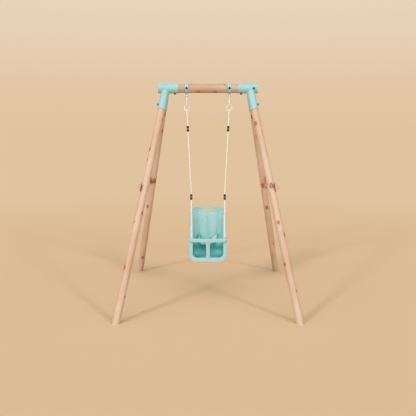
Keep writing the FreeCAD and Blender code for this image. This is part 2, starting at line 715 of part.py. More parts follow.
def build_seat():
    """The moulded bucket seat: tub, perimeter flange, front rim, high back and its slots."""
    wall = size("shell_wall")
    front = shift(size("front_y"))
    bottom = size("seat_bottom")
    arm = size("arm_height")
    shoulder = size("shoulder_height")
    arm_back = shift(size("arm_back"))
    shoulder_front = shift(size("shoulder_front"))
    half = size("seat_half")
    tub = size("tub_half")
    above = size("back_height") + 100
    far = size("back_half") * 3
    lift = math.atan2(shoulder - arm, shoulder_front - arm_back)
    inset = wall * math.tan(lift / 2)

    outline = [(front, arm), (arm_back, arm), (shoulder_front, shoulder), (back_face(shoulder), shoulder),
               (back_face(bottom), bottom), (front, bottom)]
    under = [(front + wall, arm - wall), (arm_back + inset, arm - wall),
             (shoulder_front + inset, shoulder - wall), (far, shoulder - wall), (far, bottom - 50),
             (front + wall, bottom - 50)]
    outer = side_prism(outline, [8, 60, 30, 0, 45, 6], -tub - wall, tub + wall)
    outer = outer.common(bucket(tub + wall, bottom, size("tub_corner"), -far, far, above))
    flange = side_prism(outline, [8, 60, 30, 0, 45, 0], -half, half)
    flange = flange.cut(side_prism(under, [8 - wall, 60 + wall, 30 - wall, 0, 0, 0], -half - 1, half + 1))
    flange = flange.common(bucket(half, bottom, size("rim_corner"), -far, far, above))
    panel_low = shoulder - 80
    panel = side_prism([(back_face(panel_low), panel_low), (back_face(above), above),
                        (back_face(above, wall), above), (back_face(panel_low, wall), panel_low)],
                       [0, 0, 0, 0], -far, far)
    top = size("back_height")
    wide = size("back_half")
    panel = panel.common(front_prism([(-wide, panel_low), (wide, panel_low), (wide, top), (-wide, top)],
                                     [0, 0, 45, 45], -far, far))
    shell = outer.fuse([flange, panel])

    inner = side_prism([(front + wall, above), (back_face(above, wall), above),
                        (back_face(size("pan_height"), wall), size("pan_height")),
                        (front + wall, size("pan_height"))], [0, 0, 41, 4], -tub, tub)
    inner = inner.common(bucket(tub, size("pan_height"), size("tub_corner") - wall, -far, far, above + 50))
    window = bucket(tub, size("band_top"), 40, front - 1, front + wall + 1, above)
    shell = shell.cut([inner, window])

    boss_depth = size("key_thickness") + 14
    boss = Part.makeBox(2 * size("key_half") + 16, boss_depth, size("band_top") - bottom - 1,
                        V(-size("key_half") - 8, front, bottom + 1))
    shell = shell.fuse(boss)
    pocket_low = size("band_top") - size("key_depth") - 1
    pocket_y = key_front() - 0.5
    drift = -strand_direction(-1).y / strand_direction(-1).z * (size("key_depth") + 2)
    pocket = Part.makeBox(2 * size("key_half") + 1, size("key_thickness") + 1 - drift, 40,
                          V(-size("key_half") - 0.5, pocket_y, pocket_low))
    cuts = [pocket, handle_slot(far)]
    for side in (-1, 1):
        slot = size("belt_thickness") + 1.2
        cuts.append(Part.makeBox(slot, far, size("belt_width") + 4,
                                 V(side * size("belt_slot_x") - slot / 2, 0,
                                   size("belt_height") - size("belt_width") / 2 - 2)))
        for end in (-1, 1):
            along = strand_direction(end)
            place = lower_strand_ends(end)[1] + V(side * size("strand_x"), 0, 0) - along * 20
            cuts.append(Part.makeCylinder(size("rope_diameter") / 2 + size("rope_gap"), 40, place, along))
    node("seat_shell", coded("seat_shell_solid", shell.cut(cuts).removeSplitter()))


def handle_slot(reach):
    """The rounded slot for a hand in the top of the back."""
    across = size("handle_width") / 2
    low = size("handle_centre") - size("handle_height") / 2
    high = low + size("handle_height")
    corner = size("handle_height") / 2 - 0.5
    return front_prism([(-across, low), (across, low), (across, high), (-across, high)], [corner] * 4, 0, reach)


def key_front():
    """The front of the stem's tongue."""
    return shift(size("front_y")) + 3.5


def build_guard():
    """The T-shaped guard: a bowed bar on the two front strands, a stem, and a tongue in the rim."""
    half = size("seat_half")
    front = shift(size("front_y")) - 1
    back = front + size("bar_depth")
    low = size("arm_height") + size("rest_gap")
    middle_front = front - size("bar_bow")
    middle_back = middle_front + size("bar_middle_depth")
    outline = Part.Wire([
        Part.Arc(V(-half, front, low), V(0, middle_front, low), V(half, front, low)).toShape(),
        Part.LineSegment(V(half, front, low), V(half, back, low)).toShape(),
        Part.Arc(V(half, back, low), V(0, middle_back, low), V(-half, back, low)).toShape(),
        Part.LineSegment(V(-half, back, low), V(-half, front, low)).toShape()])
    bar = Part.Face(outline).extrude(V(0, 0, size("bar_height")))
    bar = bar.makeFillet(9, [edge for edge in bar.Edges if abs(edge.tangentAt(edge.FirstParameter).z) > 0.9])
    stem_low = size("band_top") + size("rest_gap")
    foot = shift(size("front_y"))
    thick = size("stem_thickness")
    stem = side_prism([(middle_front + 3, low + 8), (middle_front + 3 + thick, low + 8),
                       (foot + thick, stem_low), (foot, stem_low)], [0, 0, 0, 0], -size("stem_half"), size("stem_half"))
    key = Part.makeBox(2 * size("key_half"), size("key_thickness"), size("key_depth") + 2,
                       V(-size("key_half"), key_front(), size("band_top") - size("key_depth")))
    guard = bar.fuse([stem, key])
    bores = []
    along = strand_direction(-1)
    for side in (-1, 1):
        place = lower_strand_ends(-1)[1] + V(side * size("strand_x"), 0, 0) + along * 20
        bores.append(Part.makeCylinder(size("rope_diameter") / 2 + size("rope_gap"), 80, place, along * -1))
    node("guard_bar", coded("guard_bar_solid", guard.cut(bores).removeSplitter()))


# The lap belt.
def ribbon(points):
    """Webbing lofted through points, on edge: its width stays upright and its face follows the route."""
    wires = []
    for index, point in enumerate(points):
        tangent = points[min(index + 1, len(points) - 1)] - points[max(index - 1, 0)]
        across = V(-tangent.y, tangent.x, 0).normalize()
        wide = tangent.cross(across).normalize() * (size("belt_width") / 2)
        thick = across * (size("belt_thickness") / 2)
        wires.append(Part.makePolygon([point + wide + thick, point - wide + thick, point - wide - thick,
                                       point + wide - thick, point + wide + thick]))
    return Part.makeLoft(wires, True, True)


def build_belt():
    """Two straps from the back panel's slots to a press-button buckle."""
    z = size("belt_height")
    face = back_face(z)
    bx = size("buckle_x")
    by = size("buckle_y") + size("buckle_depth") / 2
    bz = size("buckle_height")
    anchors = []
    for side in (-1, 1):
        tag = side_name(side)
        sx = side * size("belt_slot_x")
        end_x = bx + side * (size("buckle_width") / 2 + (0.3 if side < 0 else 10))
        route = [V(sx, face + 4, z), V(sx, face - 12, z), V(sx - side * 3, face - 28, z - 3),
                 V(sx + (end_x - sx) * 0.3, face - 46, z - 16), V(sx + (end_x - sx) * 0.7, by + 4, bz + 4),
                 V(end_x - (end_x - sx) * 0.1, by, bz), V(end_x, by, bz)]
        node("belt_" + tag, coded("belt_%s_webbing" % tag, ribbon(route)))
        bar = Part.makeBox(18, 4, size("belt_width") + 12,
                           V(sx - 9, face + 4.3, z - size("belt_width") / 2 - 6))
        anchors.append(bar)
    node("belt_anchors", coded("belt_anchor_bars", Part.makeCompound(anchors)))

    width = size("buckle_width")
    tall = size("buckle_tall")
    depth = size("buckle_depth")
    front = size("buckle_y")
    housing = Part.makeBox(width, depth, tall, V(bx - width / 2, front, bz - tall / 2))
    housing = housing.makeFillet(3, housing.Edges)
    clear = 0.3
    bw = size("button_width")
    bt = size("button_tall")
    deep = 4 + size("button_travel") + 1
    pocket = Part.makeBox(bw + 2 * clear, deep + 1, bt + 2 * clear, V(bx - bw / 2 - clear, front - 1, bz - bt / 2 - clear))
    throat = Part.makeBox(12, 3.6, 21, V(bx + width / 2 - 11, by - 1.8, bz - 10.5))
    node("buckle_housing", coded("buckle_housing_solid", housing.cut([pocket, throat])))
    tongue = Part.makeBox(10, 3, 20, V(bx + width / 2 - 9.5, by - 1.5, bz - 10))
    plate = Part.makeBox(9.4, 5, 30, V(bx + width / 2 + 0.3, by - 2.5, bz - 15))
    node("buckle_tongue", coded("buckle_tongue_solid", tongue.fuse(plate).removeSplitter()))
    button = Part.makeBox(bw, size("button_proud") + 4, bt, V(bx - bw / 2, front - size("button_proud"), bz - bt / 2))
    node("buckle_button", coded("buckle_button_solid", button.makeFillet(1, button.Edges)))


def export():
    """Checks every object, then writes each node to its own file."""
    doc.recompute()
    for item in doc.Objects:
        if "Invalid" in item.State or "Error" in item.State:
            raise RuntimeError("%s is in a bad state: %s" % (item.Name, item.State))
    for item in nodes:
        if item.Shape.isNull() or not item.Shape.isValid():
            raise RuntimeError("%s has no valid shape" % item.Label)
    os.makedirs("parts", exist_ok=True)
    for item in nodes:
        item.Shape.exportStep(os.path.join("parts", item.Label + ".step"))
    print("%d nodes" % len(nodes))


def main():
    """Builds the swing from the top down."""
    build_beam()
    gate_pins = []
    for side in (-1, 1):
        build_bracket(side)
        build_rail(side)
        build_hanger(side)
        gate_pins.append(build_hook(side))
        build_ring(side)
        build_ropes(side)
        build_adjusters(side)
        for end in (-1, 1):
            build_leg(side, end)
    node("gate_pins", group("gate_pins_group", gate_pins))
    build_screws()
    build_caps()
    build_hanger_hardware()
    build_seat()
    build_guard()
    build_belt()
    export()


main()
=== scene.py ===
"""A wooden A-frame swing with a roped bucket seat, dressed around its packed construction model.

Everything is in metres, +Z up, with the seat facing -Y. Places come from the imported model's own boxes.
"""
from __future__ import annotations

import logging
import math
from dataclasses import dataclass, field
from enum import Enum
from typing import Callable, Iterable, Sequence

import bmesh
import bpy
from mathutils import Matrix, Vector, noise

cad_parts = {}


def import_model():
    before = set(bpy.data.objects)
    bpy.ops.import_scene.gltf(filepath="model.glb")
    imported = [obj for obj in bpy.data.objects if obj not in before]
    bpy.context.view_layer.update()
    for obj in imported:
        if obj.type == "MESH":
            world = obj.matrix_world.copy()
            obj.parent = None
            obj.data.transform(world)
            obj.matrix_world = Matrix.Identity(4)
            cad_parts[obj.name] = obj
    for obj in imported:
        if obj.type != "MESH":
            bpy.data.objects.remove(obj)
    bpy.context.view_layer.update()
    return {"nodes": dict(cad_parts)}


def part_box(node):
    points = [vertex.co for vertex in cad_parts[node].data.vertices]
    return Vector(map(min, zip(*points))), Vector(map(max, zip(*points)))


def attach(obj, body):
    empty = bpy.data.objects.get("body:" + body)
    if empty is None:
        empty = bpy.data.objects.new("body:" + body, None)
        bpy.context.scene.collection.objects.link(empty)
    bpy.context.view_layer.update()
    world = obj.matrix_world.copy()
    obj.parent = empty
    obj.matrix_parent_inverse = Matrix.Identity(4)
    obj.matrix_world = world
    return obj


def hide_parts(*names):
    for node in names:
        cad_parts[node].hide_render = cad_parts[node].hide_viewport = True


LOG = logging.getLogger("swing")
UP = Vector((0, 0, 1))
X_AXIS = Vector((1, 0, 0))
Y_AXIS = Vector((0, 1, 0))
Colour = tuple[float, float, float]
Stretch = tuple[float, float, float]
Ring = list[Vector]
MeshData = tuple[list[Vector], list[list[int]]]
Station = tuple[Vector, Vector, Vector, float]
RadiusRule = Callable[[float, float], float]
SHARP_ANGLE = 38.0


def linear(red: int, green: int, blue: int) -> Colour:
    """A screen colour, 0 to 255 a channel, as the linear colour that the shaders take.

    Args:
        red: its red, 0 to 255.
        green: its green.
        blue: its blue.

    Returns:
        The linear colour.
    """
    def channel(level: int) -> float:
        """One channel's linear amount."""
        share = level / 255
        return share / 12.92 if share <= 0.04045 else ((share + 0.055) / 1.055) ** 2.4
    return channel(red), channel(green), channel(blue)


def smooth(low: float, high: float, at: float) -> float:
    """A smooth step from 0 at low to 1 at high."""
    share = min(max((at - low) / (high - low), 0.0), 1.0)
    return share * share * (3 - 2 * share)


# Shaders ------------------------------------------------------------------------------------------

class Value:
    """A node's output that takes part in arithmetic; each operator adds a Math node."""

    def __init__(self, tree: bpy.types.NodeTree, socket: bpy.types.NodeSocket) -> None:
        """Wraps an output socket of a tree."""
        self.tree = tree
        self.socket = socket

    def math(self, operation: str, *others: float | Value) -> Value:
        """Runs a Math node on this value.

        Args:
            operation: the Math node's operation.
            others: its further inputs, numbers or values.

        Returns:
            The node's result.
        """
        node = self.tree.nodes.new("ShaderNodeMath")
        node.operation = operation
        for index, item in enumerate((self, *others)):
            if isinstance(item, Value):
                self.tree.links.new(item.socket, node.inputs[index])
            else:
                node.inputs[index].default_value = item
        return Value(self.tree, node.outputs[0])

    def constant(self, amount: float) -> Value:
        """A plain number as a value, for the reflected operators.

        Args:
            amount: the number.

        Returns:
            The value.
        """
        node = self.tree.nodes.new("ShaderNodeValue")
        node.outputs[0].default_value = amount
        return Value(self.tree, node.outputs[0])

    def __add__(self, other: float | Value) -> Value:
        """Adds."""
        return self.math("ADD", other)

    __radd__ = __add__

    def __mul__(self, other: float | Value) -> Value:
        """Multiplies."""
        return self.math("MULTIPLY", other)

    __rmul__ = __mul__

    def __sub__(self, other: float | Value) -> Value:
        """Subtracts."""
        return self.math("SUBTRACT", other)

    def __rsub__(self, other: float) -> Value:
        """Subtracts this value from a number."""
        return self.constant(other).math("SUBTRACT", self)

    def ramp(self, low: float, high: float) -> Value:
        """A smooth step of this value, 0 at low and 1 at high.

        Args:
            low: where the step starts.
            high: where it ends; an end below the start makes it fall.

        Returns:
            The step.
        """
        node = self.tree.nodes.new("ShaderNodeMapRange")
        node.interpolation_type = "SMOOTHSTEP"
        self.tree.links.new(self.socket, node.inputs["Value"])
        node.inputs["From Min"].default_value = low
        node.inputs["From Max"].default_value = high
        return Value(self.tree, node.outputs["Result"])


class Nodes:
    """A node tree, and the one way in which nodes are added to it."""

    def __init__(self, tree: bpy.types.NodeTree) -> None:
        """Wraps a material's or a world's tree."""
        self.tree = tree

    def node(self, kind: str, settings: dict[str, object] | None = None,
             inputs: dict[str | int, object] | None = None, output: str | int = 0) -> Value:
        """Adds any node.

        Args:
            kind: the node's type.
            settings: its own settings, such as a data type.
            inputs: numbers, tuples or values for its sockets.
            output: the output that is wanted.

        Returns:
            That output.
        """
        made = self.tree.nodes.new(kind)
        for key, item in (settings or {}).items():
            setattr(made, key, item)
        for key, item in (inputs or {}).items():
            if isinstance(item, Value):
                self.tree.links.new(item.socket, made.inputs[key])
            else:
                made.inputs[key].default_value = item
        return Value(self.tree, made.outputs[output])

    def vector(self, operation: str, *inputs: Value | Stretch, output: str | int = 0) -> Value:
        """Runs a Vector Math node on places and vectors."""
        return self.node("ShaderNodeVectorMath", {"operation": operation}, dict(enumerate(inputs)), output)

    def mix(self, factor: Value, first: Colour | Value, second: Colour | Value) -> Value:
        """A colour between two, by a factor."""
        ends = [item if isinstance(item, Value) else (*item, 1.0) for item in (first, second)]
        return self.node("ShaderNodeMix", {"data_type": "RGBA"}, {0: factor, 6: ends[0], 7: ends[1]}, 2)


class Shader(Nodes):
    """One material under construction, round a single Principled shader."""

    def __init__(self, name: str) -> None:
        """Starts a material with a Principled shader on its output.

        Args:
            name: the material's name.
        """
        self.material = bpy.data.materials.new(name)
        self.material.use_nodes = True
        super().__init__(self.material.node_tree)
        self.surface = self.tree.nodes["Principled BSDF"]

    def place(self) -> Value:
        """Where a shaded point is on the unposed object."""
        return self.node("ShaderNodeTexCoord", output="Object")

    def noise(self, at: Value, scale: float, detail: float = 3.0, distortion: float = 0.0) -> Value:
        """Noise of a scale at a place."""
        return self.node("ShaderNodeTexNoise", None,
                         {"Vector": at, "Scale": scale, "Detail": detail, "Distortion": distortion})

    def stretched(self, at: Value, factors: Stretch) -> Value:
        """A place with each of its axes scaled."""
        return self.vector("MULTIPLY", at, factors)

    def dot(self, at: Value, way: Vector) -> Value:
        """How far a place lies along a direction."""
        return self.vector("DOT_PRODUCT", at, tuple(way), output="Value")

    def feed(self, socket: str, item: Colour | float | Value) -> None:
        """Gives the Principled shader a constant or a link.

        Args:
            socket: the shader's socket.
            item: a colour, a number or a value.
        """
        if isinstance(item, Value):
            self.tree.links.new(item.socket, self.surface.inputs[socket])
        elif isinstance(item, tuple):
            self.surface.inputs[socket].default_value = (*item, 1.0)
        else:
            self.surface.inputs[socket].default_value = item

    def bump(self, height: Value, distance: float) -> None:
        """Raises the surface by a height, in metres at full height."""
        self.feed("Normal", self.node("ShaderNodeBump", None, {"Height": height, "Distance": distance}))


@dataclass(frozen=True)
class Knot:
    """A knot in a pole: how far along it, where round it in degrees, and its radius."""

    along: float
    angle: float
    radius: float = 0.012


@dataclass(frozen=True)
class PineFinish:
    """Bare sanded pine with growth rings round a pith, fibres along the pole and knots."""

    name: str
    start: Vector
    axis: Vector
    radius: float
    knots: tuple[Knot, ...] = ()
    pith: tuple[float, float] = (0.018, 0.011)
    ring_pitch: float = 0.0052
    pale: Colour = linear(205, 181, 160)
    warm: Colour = linear(194, 158, 128)
    late_wood: Colour = linear(168, 116, 78)
    knot_edge: Colour = linear(124, 74, 44)
    knot_heart: Colour = linear(168, 114, 76)
    # Scales both wood colours; below 1 it is painted shade, as on the beam against the strong light on its
    # top.
    shade: float = 1.0
    wander: Stretch = (9.0, 9.0, 1.6)
    wander_reach: tuple[float, float] = (0.030, 0.022)
    fine: Stretch = (70.0, 70.0, 5.0)
    fine_reach: float = 0.0012
    fibre: Stretch = (900.0, 900.0, 24.0)
    patch: Stretch = (11.0, 11.0, 2.4)
    knot_pull: float = 0.008
    knot_wobble: Stretch = (0.008, 0.008, 0.010)
    knot_squeeze: float = 0.72
    relief: float = 0.0004

    def across(self) -> tuple[Vector, Vector]:
        """Two directions square to the pole."""
        first = self.axis.cross(Y_AXIS if abs(self.axis.y) < 0.9 else X_AXIS).normalized()
        return first, self.axis.cross(first).normalized()

    def build(self) -> bpy.types.Material:
        """Makes the material.

        Returns:
            The material.
        """
        made = Shader(self.name)
        first, second = self.across()
        local = made.vector("SUBTRACT", made.place(), tuple(self.start))
        side, front = made.dot(local, first), made.dot(local, second)
        at = made.node("ShaderNodeCombineXYZ", None, {0: side, 1: front, 2: made.dot(local, self.axis)})
        nearest = self.knot_distance(made, at)
        ring = self.ring_edges(made, at, (side, front), nearest.ramp(3.4, 0.9))
        fibre = made.noise(made.stretched(at, self.fibre), 1.0, 4.0)
        rim = nearest.ramp(0.62, 0.95) * (1 - nearest.ramp(1.0, 1.35))
        wood = self.clear_wood(made, at, ring, fibre)
        made.feed("Base Color", self.knotted(made, nearest, rim, wood))
        made.feed("Roughness", fibre * 0.16 + 0.56 - (1 - nearest.ramp(0.8, 1.1)) * 0.12)
        made.surface.inputs["Specular IOR Level"].default_value = 0.6
        made.bump(ring * 0.16 + fibre * 0.3 + rim * -0.5, self.relief)
        return made.material

    def ring_edges(self, made: Shader, at: Value, flat: tuple[Value, Value], pull: Value) -> Value:
        """The dark edges of the growth rings, which bend round the knots.

        Args:
            made: the material.
            at: the place in the pole's own frame.
            flat: the place's two parts across the pole.
            pull: how near a knot is, 0 to 1.

        Returns:
            A value that is 1 on each edge.
        """
        wander = made.noise(made.stretched(at, self.wander), 1.0, 2.0) - 0.5
        moved = [part - middle + wander * drift
                 for part, middle, drift in zip(flat, self.pith, self.wander_reach)]
        reach = made.vector("LENGTH", made.node("ShaderNodeCombineXYZ", None, dict(enumerate(moved))),
                            output="Value")
        fine = made.noise(made.stretched(at, self.fine), 1.0, 2.0)
        turns = (reach + pull * self.knot_pull + fine * self.fine_reach) * (1 / self.ring_pitch)
        saw = turns.math("FRACT")
        return saw.ramp(0.35, 0.92) * (1 - saw.ramp(0.93, 1.0))

    def clear_wood(self, made: Shader, at: Value, ring: Value, fibre: Value) -> Value:
        """The colour of the wood between its knots.

        Args:
            made: the material.
            at: the place in the pole's own frame.
            ring: the growth rings' edges.
            fibre: the fibres.

        Returns:
            The colour.
        """
        patch = made.noise(made.stretched(at, self.patch), 1.0, 3.0)
        # A shade below 1 darkens both colours as painted shade.
        pale, warm = (tuple(channel * self.shade for channel in colour) for colour in (self.pale, self.warm))
        base = made.mix(patch.ramp(0.32, 0.72), pale, warm)
        grain = made.mix(ring * (patch * 0.35 + 0.14), base, self.late_wood)
        return made.mix(fibre.ramp(0.42, 0.75) * 0.22, grain, self.late_wood)

    def knotted(self, made: Shader, nearest: Value, rim: Value, wood: Value) -> Value:
        """The wood's colour with its knots, each with rings, a dark rim and a halo.

        Args:
            made: the material.
            nearest: distance to the nearest knot, in its radii.
            rim: the knots' rims.
            wood: the clear wood's colour.

        Returns:
            The colour.
        """
        core = (nearest * 9.0).math("SINE").ramp(-1.0, 1.0)
        eye = made.mix(core * 0.6, self.knot_heart, self.knot_edge)
        filled = made.mix(1 - nearest.ramp(0.85, 1.12), wood, eye)
        halo = made.mix((1 - nearest.ramp(1.0, 2.3)) * 0.45, filled, self.late_wood)
        return made.mix(rim * 0.85, halo, self.knot_edge)

    def knot_distance(self, made: Shader, at: Value) -> Value:
        """Distance to the nearest knot, in that knot's radii.

        Args:
            made: the material.
            at: the place in the pole's own frame.

        Returns:
            The distance; far from any knot when there is none.
        """
        nearest: Value | None = None
        wobble = made.node("ShaderNodeTexNoise", None, {"Vector": at, "Scale": 60.0, "Detail": 2.0}, "Color")
        shifted = made.vector("MULTIPLY_ADD", wobble, self.knot_wobble, at)
        squeezed = made.stretched(shifted, (1.0, 1.0, self.knot_squeeze))
        side, front, along = (amount / 2 for amount in self.knot_wobble)
        for knot in self.knots:
            turn = math.radians(knot.angle)
            spot = (self.radius * math.cos(turn) + side, self.radius * math.sin(turn) + front,
                    (knot.along + along) * self.knot_squeeze)
            ratio = made.vector("DISTANCE", squeezed, spot, output="Value") * (1 / knot.radius)
            nearest = ratio if nearest is None else nearest.math("MINIMUM", ratio)
        return nearest if nearest is not None else at.constant(9.0)


@dataclass(frozen=True)
class MouldedFinish:
    """Coloured plastic or paint: slow tint changes, a fine grain in relief, light scuffs, and optional
    painted shade in recesses.
    """

    name: str
    colour: Colour
    shade: Colour
    roughness: float = 0.42
    grain_scale: float = 900.0
    grain_depth: float = 0.00008
    coat: float = 0.0
    scuff: float = 0.12
    # Painted shade: the deep colour that enclosed places are darkened toward, with the occlusion's reach,
    # ramp span and strength.
    painted_recess_shade: Colour | None = None
    painted_shade_reach: float = 0.30
    painted_shade_span: tuple[float, float] = (0.30, 0.90)
    painted_shade_share: float = 0.96

    def build(self) -> bpy.types.Material:
        """Makes the material.

        Returns:
            The material.
        """
        made = Shader(self.name)
        at = made.place()
        cloud = made.noise(at, 7.0, 3.0)
        speck = made.noise(at, 140.0, 2.0)
        tint = made.mix(cloud.ramp(0.3, 0.75) * 0.5 + speck.ramp(0.55, 0.8) * 0.18, self.colour, self.shade)
        wear = made.noise(made.stretched(at, (60.0, 25.0, 160.0)), 1.0, 5.0, 0.6).ramp(0.58, 0.72)
        # Painted shade: an ambient occlusion node darkens the colour toward the deep recess colour where the
        # surface is enclosed, as inside the tub.
        if self.painted_recess_shade:
            openness = made.node("ShaderNodeAmbientOcclusion", {"samples": 12},
                                 {"Distance": self.painted_shade_reach}, "AO")
            tint = made.mix((1 - openness).ramp(*self.painted_shade_span) * self.painted_shade_share, tint, self.painted_recess_shade)
        made.feed("Base Color", tint)
        made.feed("Roughness", wear * self.scuff + cloud * 0.06 + self.roughness)
        made.feed("Coat Weight", self.coat)
        made.surface.inputs["Coat Roughness"].default_value = 0.25
        grain = made.noise(at, self.grain_scale, 2.0)
        made.bump(grain + wear * 0.4, self.grain_depth)
        return made.material


@dataclass(frozen=True)
class SteelFinish:
    """Zinc-plated or polished steel with fine brushing and dull spots."""

    name: str
    colour: Colour = linear(196, 194, 190)
    dull: Colour = linear(142, 140, 136)
    roughness: float = 0.28
    metallic: float = 1.0

    def build(self) -> bpy.types.Material:
        """Makes the material.

        Returns:
            The material.
        """
        made = Shader(self.name)
        at = made.place()
        spots = made.noise(at, 190.0, 4.0)
        lines = made.noise(made.stretched(at, (1500.0, 1500.0, 120.0)), 1.0, 2.0)
        made.feed("Base Color", made.mix(spots.ramp(0.45, 0.7) * 0.7, self.colour, self.dull))
        made.feed("Metallic", self.metallic)
        made.feed("Roughness", spots * 0.18 + lines * 0.10 + self.roughness - 0.1)
        made.bump(lines + spots, 0.00004)
        return made.material


class Weave(Enum):
    """How a textile's threads run."""

    BRAID = "braid"
    WEBBING = "webbing"


@dataclass(frozen=True)
class TextileFinish:
    """Rope or webbing thread: pale yarn with painted shade between the threads, soft and rough."""

    name: str
    weave: Weave
    colour: Colour
    painted_thread_shade: Colour

    def build(self) -> bpy.types.Material:
        """Makes the material.

        Returns:
            The material.
        """
        made = Shader(self.name)
        at = made.place()
        if self.weave is Weave.WEBBING:
            warp = made.node("ShaderNodeTexWave", {"wave_type": "BANDS", "bands_direction": "Z"},
                             {"Vector": at, "Scale": 240.0, "Distortion": 0.6, "Detail": 1.0}, "Fac")
            weft = made.node("ShaderNodeTexWave", {"wave_type": "BANDS", "bands_direction": "DIAGONAL"},
                             {"Vector": at, "Scale": 150.0, "Distortion": 0.4}, "Fac")
            threads = warp * weft
        else:
            threads = made.noise(made.stretched(at, (900.0, 900.0, 300.0)), 1.0, 3.0)
        fluff = made.noise(at, 1400.0, 2.0)
        soil = made.noise(at, 12.0, 3.0).ramp(0.45, 0.8)
        # How much of the darker colour: painted shade between the threads, plus random soil.
        dark = (1 - threads.ramp(0.12, 0.5)) * 0.34 + soil * 0.10
        made.feed("Base Color", made.mix(dark, self.colour, self.painted_thread_shade))
        made.feed("Roughness", fluff * 0.1 + 0.8)
        made.surface.inputs["Sheen Weight"].default_value = 0.25
        made.bump(threads + fluff * 0.4, 0.0003)
        return made.material


@dataclass
class Finishes:
    """Every finish that is shared between pieces, built once."""

    teal_paint: bpy.types.Material = field(init=False)
    teal_plastic: bpy.types.Material = field(init=False)
    black_plastic: bpy.types.Material = field(init=False)
    nylon: bpy.types.Material = field(init=False)
    buckle_plastic: bpy.types.Material = field(init=False)
    red_plastic: bpy.types.Material = field(init=False)
    zinc: bpy.types.Material = field(init=False)
    bright_steel: bpy.types.Material = field(init=False)
    rope: bpy.types.Material = field(init=False)
    webbing: bpy.types.Material = field(init=False)

    def __post_init__(self) -> None:
        """Builds the materials."""
        self.teal_paint = MouldedFinish("teal powder coat", linear(147, 193, 197), linear(136, 183, 187),
                                        0.40, 700.0, 0.00012, coat=0.15).build()
        # The seat's plastic gets painted shade, a deep teal, where it is enclosed.
        self.teal_plastic = MouldedFinish("teal moulded plastic", linear(153, 196, 200),
                                          linear(144, 188, 192), 0.44, 1100.0,
                                          painted_recess_shade=linear(0, 172, 164)).build()
        self.black_plastic = MouldedFinish("black plastic", linear(13, 11, 10), linear(21, 18, 16),
                                           0.45).build()
        self.nylon = MouldedFinish("nylon", linear(222, 216, 204), linear(206, 200, 188), 0.5).build()
        self.buckle_plastic = MouldedFinish("buckle plastic", linear(230, 226, 220),
                                            linear(214, 208, 200)).build()
        self.red_plastic = MouldedFinish("red plastic", linear(196, 40, 34), linear(172, 30, 28), 0.3).build()
        self.zinc = SteelFinish("zinc plated steel").build()
        self.bright_steel = SteelFinish("bright steel", linear(236, 234, 232), linear(206, 203, 199),
                                        0.34, 0.5).build()
        # Each textile's second colour is the painted shade between its threads.
        self.rope = TextileFinish("rope yarn", Weave.BRAID, linear(233, 226, 218),
                                  linear(192, 178, 162)).build()
        self.webbing = TextileFinish("webbing", Weave.WEBBING, linear(240, 236, 230),
                                     linear(186, 178, 168)).build()


# Meshes -------------------------------------------------------------------------------------------

def circle(count: int) -> list[float]:
    """Evenly spaced angles round a circle."""
    return [math.tau * step / count for step in range(count)]


def bent(level: float, power: float) -> float:
    """A sine or cosine raised to a power, its sign kept; a power under 1 squares a circle."""
    return math.copysign(abs(level) ** power, level)


def add_mesh(name: str, vertices: Sequence[Vector], faces: Sequence[Sequence[int]],
             sharp: float = SHARP_ANGLE) -> bpy.types.Object:
    """Adds a smooth-shaded mesh object with sharp edges past an angle.

    Args:
        name: the piece's name.
        vertices: its points.
        faces: its faces.
        sharp: the angle, in degrees, past which an edge shows as sharp.

    Returns:
        The object.
    """
    mesh = bpy.data.meshes.new(name)
    mesh.from_pydata([tuple(point) for point in vertices], [], [tuple(face) for face in faces])
    work = bmesh.new()
    work.from_mesh(mesh)
    bmesh.ops.remove_doubles(work, verts=work.verts, dist=1e-6)
    bmesh.ops.recalc_face_normals(work, faces=work.faces)
    work.to_mesh(mesh)
    work.free()
    return finish_mesh(name, mesh, sharp)


def finish_mesh(name: str, mesh: bpy.types.Mesh, sharp: float = SHARP_ANGLE) -> bpy.types.Object:
    """Links a mesh as an object and shades it smooth past an angle.

    Args:
        name: the piece's name.
        mesh: its mesh.
        sharp: the angle, in degrees, past which an edge shows as sharp.

    Returns:
        The object.
    """
    mesh.validate()
    mesh.shade_smooth()
    mesh.set_sharp_from_angle(angle=math.radians(sharp))
    made = bpy.data.objects.new(name, mesh)
    bpy.context.scene.collection.objects.link(made)
    return made


def loft(rings: Sequence[Ring], caps: bool = True) -> MeshData:
    """Joins closed rings of equal length into a tube.

    Args:
        rings: the rings, in order.
        caps: whether its two ends are closed.

    Returns:
        Vertices and faces.
    """
    count = len(rings[0])
    vertices = [point for ring in rings for point in ring]
    faces = []
    for row in range(len(rings) - 1):
        for step in range(count):
            following = (step + 1) % count
            faces.append([row * count + step, row * count + following,
                          (row + 1) * count + following, (row + 1) * count + step])
    if caps:
        faces.append(list(range(count))[::-1])
        faces.append([(len(rings) - 1) * count + step for step in range(count)])
    return vertices, faces


def frames(path: Sequence[Vector], closed: bool = False) -> list[tuple[Vector, Vector, Vector]]:
    """Tangent and two square directions at each point of a path, carried along it without twist.

    Args:
        path: the points.
        closed: whether the path is a loop.

    Returns:
        Three directions for each point.
    """
    count = len(path)
    made = []
    first = None
    for index, point in enumerate(path):
        ahead = path[(index + 1) % count] if closed or index + 1 < count else point
        behind = path[index - 1] if closed or index else point
        tangent = (ahead - behind).normalized()
        if first is None:
            first = tangent.orthogonal().normalized()
        first = (first - tangent * first.dot(tangent)).normalized()
        made.append((tangent, first, tangent.cross(first)))
    return made


